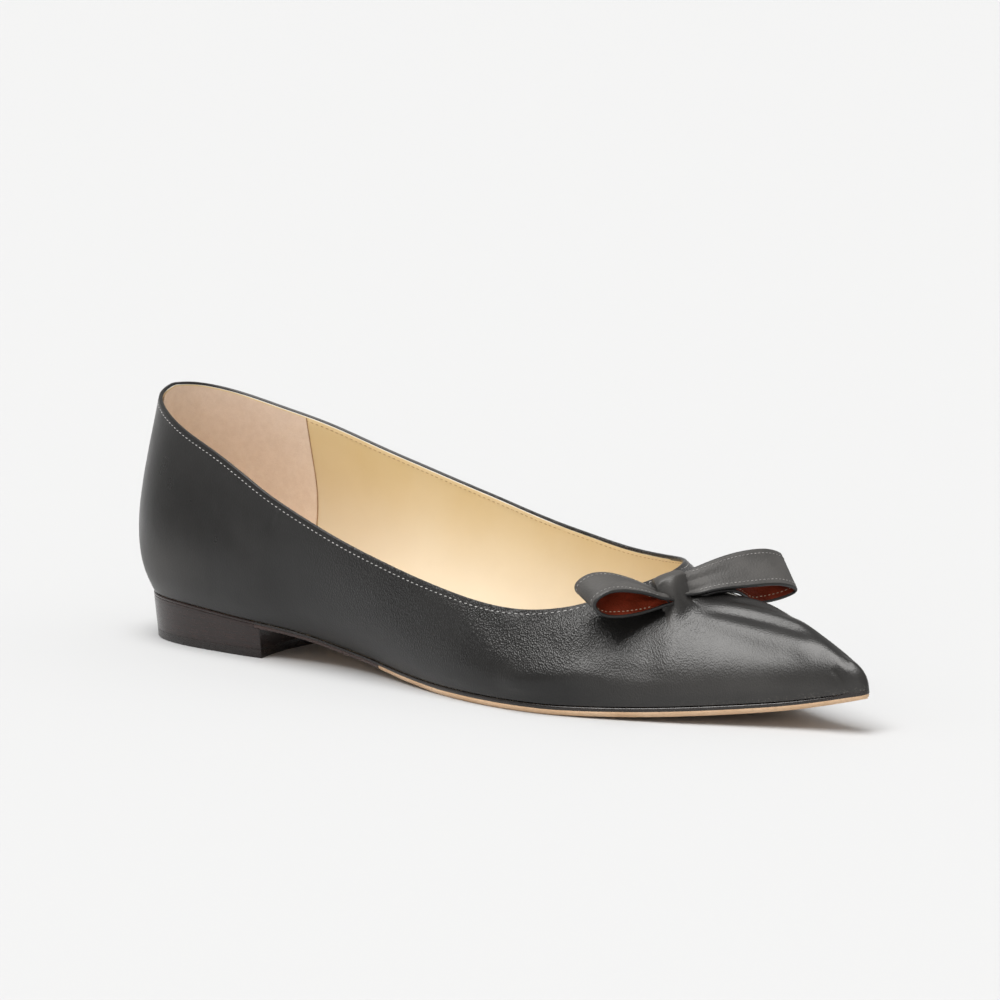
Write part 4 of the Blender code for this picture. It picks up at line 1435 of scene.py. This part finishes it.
def toplineRun(below, outside, pitch, inset=0.0):
    # Places for a row of stitches below the topline, from the throat round the back and to the throat
    line = []
    count = 260
    for side, order in (("lateral", -1), ("medial", 1)):
        part = []
        for n in range(count + 1):
            column = throatColumn * n / count
            v = topShare(side, column, below)
            normal = shellNormal(side, column, v)
            place = shellPoint(side, column, v)
            if outside:
                place, normal, _, _ = upperTree.find_nearest(place)
            else:
                place = place - normal * inset
                normal = -normal
            part.append((place, normal))
        line += part[::order]
    runs = []
    places = [p for p, _ in line]
    k = 0
    for place, way in resample(places, pitch):
        while k < len(places) - 2 and (places[k + 1] - place).length < (places[k] - place).length:
            k += 1
        runs.append((place, way, line[k][1]))
    return runs


toplineThread = {"radius": 0.13 * mm, "length": 1.10 * mm, "slant": 0.12, "seed": 11}
liningThread = {"radius": 0.14 * mm, "length": 1.05 * mm, "slant": 0.05, "seed": 12}
outsideRun = toplineRun(1.8 * mm, True, 1.85 * mm)
insideRun = toplineRun(1.9 * mm, False, 1.8 * mm, inset=1.38 * mm)
addObject("toplineStitches", stitchMesh(outsideRun, toplineThread), [threadPale])
addObject("liningStitches", stitchMesh(insideRun, liningThread), [threadTan])
print("stage: stitches")


# Floor, camera and lights

floorSettings = {"size": 14.0, "colour": (0.552, 0.560, 0.570, 1.0), "roughness": 0.9, "specular": 0.1}
cameraSettings = {
    "place": (1.060473, -1.123281, 0.285472),
    "way": (-0.641505, 0.751106, -0.155920),
    "sensor": 36.0,
    "lens": 184.95,
    "shiftX": 0.001,
    "far": 30.0,
}


def makeFloor():
    bpy.ops.mesh.primitive_plane_add(size=floorSettings["size"], location=(0.0, 0.0, 0.0))
    floor = bpy.context.object
    floor.name = "studioFloor"
    material, tree, shader = makeMaterial("floorPaper")
    fill(tree, shader, {"Base Color": floorSettings["colour"], "Roughness": floorSettings["roughness"],
                        "Specular IOR Level": floorSettings["specular"]})
    floor.data.materials.append(material)


def makeCamera():
    data = bpy.data.cameras.new("studioCamera")
    camera = bpy.data.objects.new("studioCamera", data)
    bpy.context.scene.collection.objects.link(camera)
    camera.location = cameraSettings["place"]
    camera.rotation_euler = Vector(cameraSettings["way"]).to_track_quat("-Z", "Y").to_euler()
    data.sensor_width = cameraSettings["sensor"]
    data.lens = cameraSettings["lens"]
    data.shift_x = cameraSettings["shiftX"]
    data.clip_end = cameraSettings["far"]
    data.dof.use_dof = False
    bpy.context.scene.camera = camera


# One overhead panel seen from the shoe: its edges as slopes from the vertical, and how soft they are
panelSettings = {
    "x": (-0.38, 0.20),
    "y": (-0.86, 0.16),
    "soft": 0.11,
    "strength": 8.8,
    "surround": 0.50,
    "tint": (1.0, 0.985, 0.965, 1.0),
}
sideSettings = {"way": (0.42, -0.90, 0.08), "first": 0.90, "full": 0.985, "strength": 0.9}


def dotWith(tree, way, direction):
    inputs = {0: way, 1: tuple(Vector(direction).normalized())}
    return addNode(tree, "ShaderNodeVectorMath", inputs, operation="DOT_PRODUCT").outputs["Value"]


def makeLights():
    world = bpy.data.worlds.new("studioWorld")
    bpy.context.scene.world = world
    world.use_nodes = True
    tree = world.node_tree
    way = addNode(tree, "ShaderNodeTexCoord").outputs["Generated"]
    height = math2(tree, "MAXIMUM", dotWith(tree, way, (0.0, 0.0, 1.0)), 0.02)
    inside = None
    for key, axis in (("x", (1.0, 0.0, 0.0)), ("y", (0.0, 1.0, 0.0))):
        slope = math2(tree, "DIVIDE", dotWith(tree, way, axis), height)
        first, last = panelSettings[key]
        soft = panelSettings["soft"]
        low = ramp(tree, slope, first - soft, first + soft)
        high = ramp(tree, slope, last - soft, last + soft, 1.0, 0.0)
        part = math2(tree, "MULTIPLY", low, high)
        inside = part if inside is None else math2(tree, "MULTIPLY", inside, part)
    lit = math2(tree, "MULTIPLY", inside, panelSettings["strength"])
    side = ramp(tree, dotWith(tree, way, sideSettings["way"]), sideSettings["first"], sideSettings["full"],
                0.0, sideSettings["strength"])
    total = math2(tree, "ADD", math2(tree, "ADD", lit, side), panelSettings["surround"])
    back = tree.nodes["Background"]
    back.inputs["Color"].default_value = panelSettings["tint"]
    tree.links.new(total, back.inputs["Strength"])
    bpy.context.scene.view_settings.view_transform = "Standard"


makeFloor()
makeCamera()
makeLights()
